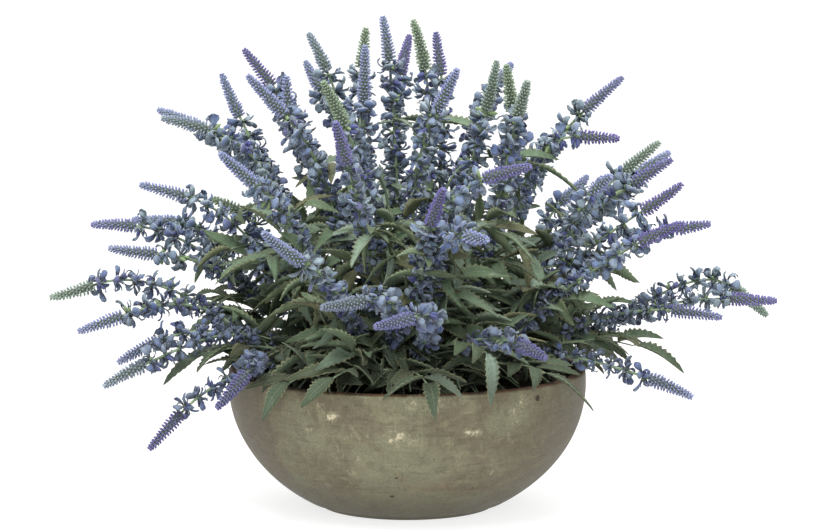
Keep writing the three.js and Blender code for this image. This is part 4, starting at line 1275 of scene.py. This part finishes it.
# Forms of flower: the length and radius of its cup, and its petals. A petal has a line out and up, half
# widths along it, how far its edges lift, and its places across.
FLOWER_FORMS = {
    "flower_a_open": (4.0, 1.4, [
        ([(0.6, 3.4), (1.9, 5.6), (4.3, 8.0), (6.9, 9.2), (8.9, 8.9)], [0.8, 1.4, 3.9, 4.0, 1.6], -1.2,
         BROAD),
        ([(-0.5, 3.4), (-1.7, 6.2), (-1.5, 8.7), (0.2, 10.1)], [0.8, 1.8, 1.9, 0.6], 0.7, NARROW)]),
    "flower_b_broad": (3.6, 1.4, [
        ([(0.2, 3.0), (0.9, 6.0), (1.2, 9.2), (0.5, 12.0), (-0.8, 13.4)], [0.8, 1.5, 3.7, 3.6, 1.4], 1.3,
         BROAD),
        ([(0.9, 3.0), (3.4, 4.6), (5.2, 4.0), (6.4, 2.0)], [0.9, 1.9, 1.9, 0.7], 0.6, NARROW)]),
    "flower_c_hooked": (3.8, 1.4, [
        ([(0.4, 3.2), (2.4, 5.9), (4.8, 7.1), (6.8, 6.6), (7.7, 4.4)], [1.0, 2.3, 2.8, 2.4, 0.9], 0.8,
         NARROW),
        ([(-0.4, 3.2), (-1.6, 6.2), (-1.7, 8.6), (-0.5, 10.6)], [0.9, 2.3, 2.2, 0.8], 0.8, NARROW)]),
    "flower_e_upright": (3.0, 1.2, [
        ([(0.4, 2.4), (2.0, 5.0), (3.2, 7.8), (3.2, 10.2)], [0.7, 2.0, 2.2, 0.6], -0.7, NARROW),
        ([(-0.4, 2.4), (-1.4, 5.2), (-1.8, 8.2), (-1.0, 10.8)], [0.7, 1.8, 2.0, 0.6], 0.7, NARROW)]),
}
# A pair of buds: the line and the radius of each
BUD_PAIR = [([(0.5, 0.8), (1.9, 3.0), (3.0, 5.4), (3.4, 7.2)], 1.7),
            ([(-0.4, 0.8), (-1.0, 3.2), (-0.9, 5.8), (-0.4, 7.8)], 1.55)]
BUD_SWELL = (0.5, 1, 0.86, 0.3)  # of a bud's radius, along its line
BUD_SIDES = 4


class Bloom:
    """A small flower or bud, put together from shapes."""

    def __init__(self, name, finish):
        self.name, self.finish = name, finish
        self.points, self.faces = [], []
        self.kept = {"out": [], "edge": [], "kind": []}

    def add(self, points, faces, start, length, kind, edges=None):
        """`start` and `length` give how far out each point is, and `edges` how near a petal's edge."""
        first = len(self.points)
        self.points += points
        self.faces += [tuple(first + i for i in face) for face in faces]
        self.kept["out"] += [min(1.0, (point - start).length / length) for point in points]
        self.kept["edge"] += edges or [0.0] * len(points)
        self.kept["kind"] += [float(kind)] * len(points)

    def add_petal(self, line, half_widths, cup, acrosses):
        rows = []
        side = Vector((0, 1, 0))
        for (point, along), half in zip(line_frames(line), half_widths):
            lift = along.cross(side) * cup
            rows.append([point + side * across * half + lift * across * across for across in acrosses])
        points, faces, marks = thin_shape(rows, PETAL_THICKNESS)
        length = sum(math.dist(a, b) for a, b in zip(line, line[1:]))
        self.add(points, faces, rows[0][len(acrosses) // 2], length * 0.92, LIP,
                 [1.0 - abs(side) for _, _, side in marks])

    def add_tube(self, line, radii, kind):
        """A closed tube along a line, as a cup or a bud."""
        points, faces = [], []
        turns = [2 * math.pi * j / BUD_SIDES for j in range(BUD_SIDES)]
        for (point, along), radius in zip(line_frames(line), radii):
            side = along.cross(Vector((0, 1, 0)))
            points += [point + radius * (side * math.cos(turn) + Vector((0, math.sin(turn), 0)))
                       for turn in turns]
        for i in range(0, len(points) - BUD_SIDES, BUD_SIDES):
            pairs = [(i + j, i + (j + 1) % BUD_SIDES) for j in range(BUD_SIDES)]
            faces += [(a, b, b + BUD_SIDES, a + BUD_SIDES) for a, b in pairs]
        faces += [tuple(reversed(range(BUD_SIDES))), tuple(range(len(points) - BUD_SIDES, len(points)))]
        self.add(points, faces, Vector((line[0][0], 0, line[0][1])), math.dist(line[0], line[-1]), kind)

    def mesh(self, unit=1.0):
        """`unit` is the length in millimetres of one of the shape's own units."""
        made = mesh_of(self.name, [point * unit for point in self.points], self.faces)
        for name, values in self.kept.items():
            store(made, name, "FLOAT", values)
        store(made, "finish", "INT", [self.finish] * len(self.points))
        return tidied(made)


def line_frames(line):
    """For each point of a line in the plane of X and Z: the point and the heading there."""
    for i, (x, z) in enumerate(line):
        before, after = line[max(0, i - 1)], line[min(len(line) - 1, i + 1)]
        yield Vector((x, 0, z)), Vector((after[0] - before[0], 0, after[1] - before[1])).normalized()


def flower(name, cup_length, cup_radius, petals):
    bloom = Bloom(name, PETAL)
    bloom.add_tube([(0, 0.9), (0, cup_length * 0.5), (0, cup_length)],
                   [0.6, cup_radius, cup_radius * 0.85], CUP)
    for petal in petals:
        bloom.add_petal(*petal)
    return bloom.mesh()


def bud_pair():
    bloom = Bloom("flower_d_buds", PETAL)
    for line, radius in BUD_PAIR:
        bloom.add_tube(line, [radius * swell for swell in BUD_SWELL], BUD)
    return bloom.mesh()


def spike_bud():
    """A closed bud of the spike, one unit long and one in radius, to be sized where it stands."""
    bloom = Bloom("spike_bud", SPIKE)
    bloom.add_tube([(0, 0.25), (0, 0.76), (0, 1.0)], [0.6, 1.0, 0.0], BUD)
    return bloom.mesh(1 / MM)


def petal_cloth():
    finish, tree, place = new_finish("flower_petals", specular_ior_level=0.25, sheen_weight=0.12)
    out, edge, kind, tint = [kept(tree, name) for name in ("out", "edge", "kind", "tint")]
    mottle = grain(tree, place, 2.4, 3, 0.6)
    drift = grain(tree, place, 38, 3, 0.55)
    blue = layered(
        tree, (134, 149, 161),
        (tint, 0.1, 0.75, 1, (98, 113, 146)),
        (tint, 0.84, 1.0, 0.7, (94, 88, 128)),
        (drift, 0.52, 0.66, 0.65, (78, 94, 138)),
        (drift, 0.5, 0.34, 0.6, (112, 130, 130)),
        # Painted shade: darker towards the throat, where the petals shade one another
        (out, 0.62, 0.2, 0.7, (48, 56, 68)),
        (mottle, 0.45, 0.75, 0.5, (66, 77, 92)),
        (edge, 0.7, 0.98, 0.75, (190, 200, 206)))
    bud = layered(
        tree, (126, 148, 104),
        (tint, 0.2, 0.22, 1, (78, 84, 130)),
        (tint, 0.62, 0.64, 1, (96, 114, 132)),
        (out, 0.5, 0.0, 0.6, (86, 104, 84)))
    colour = layered(
        tree, (122, 146, 100),
        (tint, 0.1, 0.6, 1, (90, 106, 98)),
        (kind, 0.4, 0.6, 1, blue),
        (kind, 1.4, 1.6, 1, bud),
        # Painted shade: flowers low inside the plant are darker
        (painted_shade_inside(tree, place, (0.27, 0.21), (0.22, 0.16)), 0.38, (52, 58, 92)))
    return finished(finish, colour, rise(tree, mottle, 0.3, 0.7, 0.66, 0.84), mottle, 0.35)


def spike_cloth():
    finish, tree, place = new_finish("spike_buds", specular_ior_level=0.3, sheen_weight=0.1)
    out, tint, coloured = [kept(tree, name) for name in ("out", "tint", "bloom")]
    mottle = grain(tree, place, 1.6, 3, 0.6)
    # Each bud is dark at its foot, then pale green, and coloured at its tip: green, slate blue or violet
    pale = layered(tree, (212, 228, 190), (coloured, 0.2, 0.8, 1, (208, 216, 220)))
    tip = layered(
        tree, (132, 150, 124),
        (coloured, 0.1, 0.45, 1, (132, 140, 178)),
        (coloured, 0.55, 0.9, 1, (102, 94, 150)),
        (tint, 0.6, 1.0, 0.3, (80, 82, 112)))
    colour = layered(
        tree, (80, 92, 78),
        (out, 0.1, 0.3, 1, pale),
        (out, 0.8, 0.97, 1, tip),
        (mottle, 0.55, 0.85, 0.4, (72, 76, 106)),
        # Painted shade: spikes low inside the plant are darker
        (painted_shade_inside(tree, place, (0.27, 0.22), (0.24, 0.18)), 0.3, (56, 56, 92)))
    return finished(finish, colour, rise(tree, mottle, 0.3, 0.7, 0.6, 0.8), mottle, 0.2)


def turned_by(tree, rotation, axis, angle):
    """A rotation turned further about one of its own axes, by number."""
    values = {0: rotation, 1: turn_about(tree, axis, angle)}
    return output_of(tree, "FunctionNodeRotateRotation", values, rotation_space="LOCAL")


def spots_along(tree, curves, step):
    """Points at even steps along curves, each keeping the rotation of the line there."""
    values = {"Curve": curves, "Length": step}
    spots = add_node(tree, "GeometryNodeCurveToPoints", values, mode="LENGTH").outputs
    return with_value(tree, spots["Points"], "facing", spots["Rotation"], "QUATERNION")


def set_round(tree, spots, count, step, stray, tilt):
    """Doubles each spot into so many, turned round the line from the spot's first turn by even steps, with
    some stray, and tilted away from the line. It gives the new spots and their rotation."""
    doubled = add_node(tree, "GeometryNodeDuplicateElements", {"Geometry": spots, "Amount": count},
                       domain="POINT").outputs
    turn = figure(tree, "MULTIPLY_ADD", doubled["Duplicate Index"], step, read(tree, "first_turn"))
    turn = figure(tree, "ADD", turn, stray)
    rotation = turned_by(tree, read(tree, "facing", "QUATERNION"), 2, turn)
    return doubled[0], turned_by(tree, rotation, 1, tilt)


def whorl_parts(tree, given):
    """Each spot along a stem is doubled into its flowers, which are turned evenly round it."""
    seed = given["Seed"]
    spots = spots_along(tree, zone_curves(tree, given["Geometry"], WHORLS), given["Whorl Step"])
    spots = with_value(tree, spots, "first_turn", chance(tree, 0.0, 2 * math.pi, seed, 1))
    count = figure(tree, "ADD", given["Flowers a Whorl"], chance(tree, -1, 1, seed, 2))
    spots = with_value(tree, spots, "count", count)
    step = figure(tree, "DIVIDE", 2 * math.pi, read(tree, "count"))
    tilt = chance(tree, *[math.radians(tilt) for tilt in FLOWER_TILTS], seed, 4)
    stray = chance(tree, -FLOWER_STRAY, FLOWER_STRAY, seed, 3)
    spots, rotation = set_round(tree, spots, count, step, stray, tilt)
    rotation = turned_by(tree, rotation, 2, chance(tree, -1.0, 1.0, seed, 5))
    size = figure(tree, "MULTIPLY", chance(tree, *FLOWER_SIZES, seed, 6),
                  between(tree, read(tree, "share"), FLOWERS_ALONG))
    size = figure(tree, "MULTIPLY", size, figure(tree, "DIVIDE", read(tree, "girth"), MM))
    blooms = [bud_pair(), *[flower(name, *form) for name, form in FLOWER_FORMS.items()]]
    pick = chance(tree, 0, len(blooms) - 1, seed, 7)
    flowers = repeated(tree, spots, choice_of(tree, "blooms", blooms), pick, rotation, size)
    return tinted(tree, flowers, seed, 8)


def spike_parts(tree, given):
    """A green core, and rows of buds, each row turned half a step from the last."""
    seed = given["Seed"]
    spikes = zone_curves(tree, given["Geometry"], SPIKES)
    cores = with_value(tree, round_tube(tree, spikes, 6, SPIKE_CORE), "finish", SPIKE, "INT")
    step = figure(tree, "DIVIDE", 2 * math.pi, given["Buds a Row"])
    odd_row = figure(tree, "MODULO", output_of(tree, "GeometryNodeInputIndex"), 2.0)
    half = figure(tree, "MULTIPLY", odd_row, figure(tree, "MULTIPLY", step, 0.5))
    rows = with_value(tree, spots_along(tree, spikes, given["Row Step"]), "first_turn", half)
    tilt = between(tree, read(tree, "share"), [math.radians(tilt) for tilt in BUD_TILTS])
    tilt = figure(tree, "ADD", tilt, chance(tree, -BUD_TILT_STRAY, BUD_TILT_STRAY, seed, 10))
    long = figure(tree, "DIVIDE", read(tree, "girth"), figure(tree, "SINE", tilt))
    long = figure(tree, "MULTIPLY", long, chance(tree, *BUD_LENGTHS, seed, 11))
    thick = given["Bud Radius"]
    size = output_of(tree, "ShaderNodeCombineXYZ", {0: thick, 1: thick, 2: long})
    spots, rotation = set_round(tree, rows, given["Buds a Row"], step,
                                chance(tree, -BUD_STRAY, BUD_STRAY, seed, 9), tilt)
    buds = repeated(tree, spots, choice_of(tree, "spike_buds", [spike_bud()]), 0, rotation, size)
    return [cores, tinted(tree, buds, seed, 12)]


def spike_radius_at(share):
    """A spike is drawn in a little at its neck, and rounded off at its tip."""
    radius = part_way(SPIKE_RADIUS, share)
    return radius * min(1, 0.8 + 1.6 * share) * (1 - 0.3 * max(0, share * 6 - 5) ** 2)


def flower_scale(line):
    """Flowers are smaller on a low stem."""
    smallest, low, high = LOW_FLOWERS
    return part_way((smallest, 1), within_one((line.corners[3].z - low) / (high - low)))


def flowering_strands(stem, lines, rows):
    strands = Strands()
    for branch, line in enumerate(lines):
        strands.add_stalk(line, 0 if branch else -ROOT_DEPTH, STEM_RADIUS)
        bare, neck = BARE[min(branch, 1)], line.length - TOP_WHORL_GAP
        if neck > bare:
            points = line.points(steps_between(bare, neck, WHORL_LINE_STEP)[::-1])
            strands.add_line(WHORLS, points, [flower_scale(line)] * len(points))
        bow = line.spike.cross(UP).cross(line.spike).normalized()
        bow = bow * SPIKE_BOW * (2 * draw(stem, branch, 30) - 1)
        shares = [i / SPIKE_PARTS for i in range(SPIKE_PARTS + 1)]
        rows_long = line.spike_length * SPIKE_ROWS_TO
        spots = [line.at(line.length + share * rows_long)[0] + bow * share * share for share in shares]
        strands.add_line(SPIKES, spots, [spike_radius_at(share) for share in shares], rows[branch][5])
    return strands


flowering_tree, given = new_tree("flowering_stem", {
    "Stem Sides": STEM_SIDES, "Whorl Step": WHORL_STEP * MM, "Flowers a Whorl": FLOWERS_A_WHORL,
    "Row Step": ROW_STEP * MM, "Buds a Row": BUDS_A_ROW, "Bud Radius": BUD_RADIUS * MM, "Seed": 1,
})
stem_parts = leafy_parts(flowering_tree, given)
flower_parts = [whorl_parts(flowering_tree, given), *spike_parts(flowering_tree, given)]
end_tree(flowering_tree, stem_parts + flower_parts, [stem_green, sage_leaf, petal_cloth(), spike_cloth()])
for stem, lines in enumerate(flowering_lines):
    number = f"{stem + 1:02d}"
    strands = flowering_strands(stem, lines, FLOWERING_STEMS[stem])
    strands.add_leaves(add_more_leaves(crowd_points, lines[0], STEM_LEAVES, stem, 2))
    lavender = grown("lavender_" + number, strands.mesh("flowering_start_" + number), flowering_tree,
                     {"Seed": SEEDS_A_STEM * stem})
    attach(lavender, "root")
    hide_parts("flowering_stem_" + number)


# Floor, light and camera
#
# A plain white floor and soft studio light, mostly from above, as for a picture in a catalogue.

FLOOR_SIZE = 30  # metres
FLOOR_GLOW = 0.78
SKY_GLOW = (0.1, 1.55)  # of the room near the floor and overhead
LIGHTS = [  # name, place, size and power
    ("key_light", (-0.3, -1.3, 2.3), 1.1, 50),
    ("front_light", (0.35, -2.2, 0.95), 0.9, 12),
    ("back_light", (0.3, 1.6, 1.9), 1.8, 23),
]
LIGHT_AIM = Vector((0, 0, 0.2))
CAMERA_AIM = Vector((6.5, 0, 202.4))
CAMERA_LENS = 134.6


def floor_finish():
    finish, tree, place = new_finish("studio_floor", roughness=0.9, specular_ior_level=0.1,
                                     emission_strength=FLOOR_GLOW, emission_color=(1, 1, 1, 1))
    colour = blended(tree, grain(tree, place, 400, 2, 0.5), (136, 136, 136), (140, 140, 140))
    tree.links.new(colour, tree.nodes["Principled BSDF"].inputs["Base Color"])
    return finish


def studio_room():
    room = bpy.data.worlds.new("studio")
    room.use_nodes = True
    tree = room.node_tree
    height = parts_of(tree, output_of(tree, "ShaderNodeTexCoord", output="Generated"))["Z"]
    sky = tree.nodes["Background"].inputs
    tree.links.new(rise(tree, height, 0.0, 0.7, *SKY_GLOW), sky["Strength"])
    sky["Color"].default_value = (1, 1, 1, 1)
    return room


half = FLOOR_SIZE / 2 / MM
corners = [Vector((x, y, -0.05)) for x, y in ((-half, -half), (half, -half), (half, half), (-half, half))]
floor = add_object("studio_floor", mesh_of("studio_floor", corners, [(0, 1, 2, 3)]))
floor.data.materials.append(floor_finish())

for name, spot, size, power in LIGHTS:
    lamp = bpy.data.lights.new(name, "AREA")
    lamp.shape, lamp.size, lamp.energy = "DISK", size, power
    light = add_object(name, lamp)
    light.location = spot
    light.rotation_euler = (LIGHT_AIM - Vector(spot)).to_track_quat("-Z", "Y").to_euler()
bpy.context.scene.world = studio_room()
bpy.context.scene.view_settings.view_transform = "Standard"

camera = add_object("camera", bpy.data.cameras.new("camera"))
camera.data.lens = CAMERA_LENS
camera.data.sensor_width = 36
camera.data.clip_start, camera.data.clip_end = 0.1, 50
rise_angle = math.radians(VIEW_RISE)
away = Vector((0, -math.cos(rise_angle), math.sin(rise_angle))) * VIEW_DISTANCE
camera.location = (CAMERA_AIM + away) * MM
camera.rotation_euler = (-away).to_track_quat("-Z", "Y").to_euler()
bpy.context.scene.camera = camera
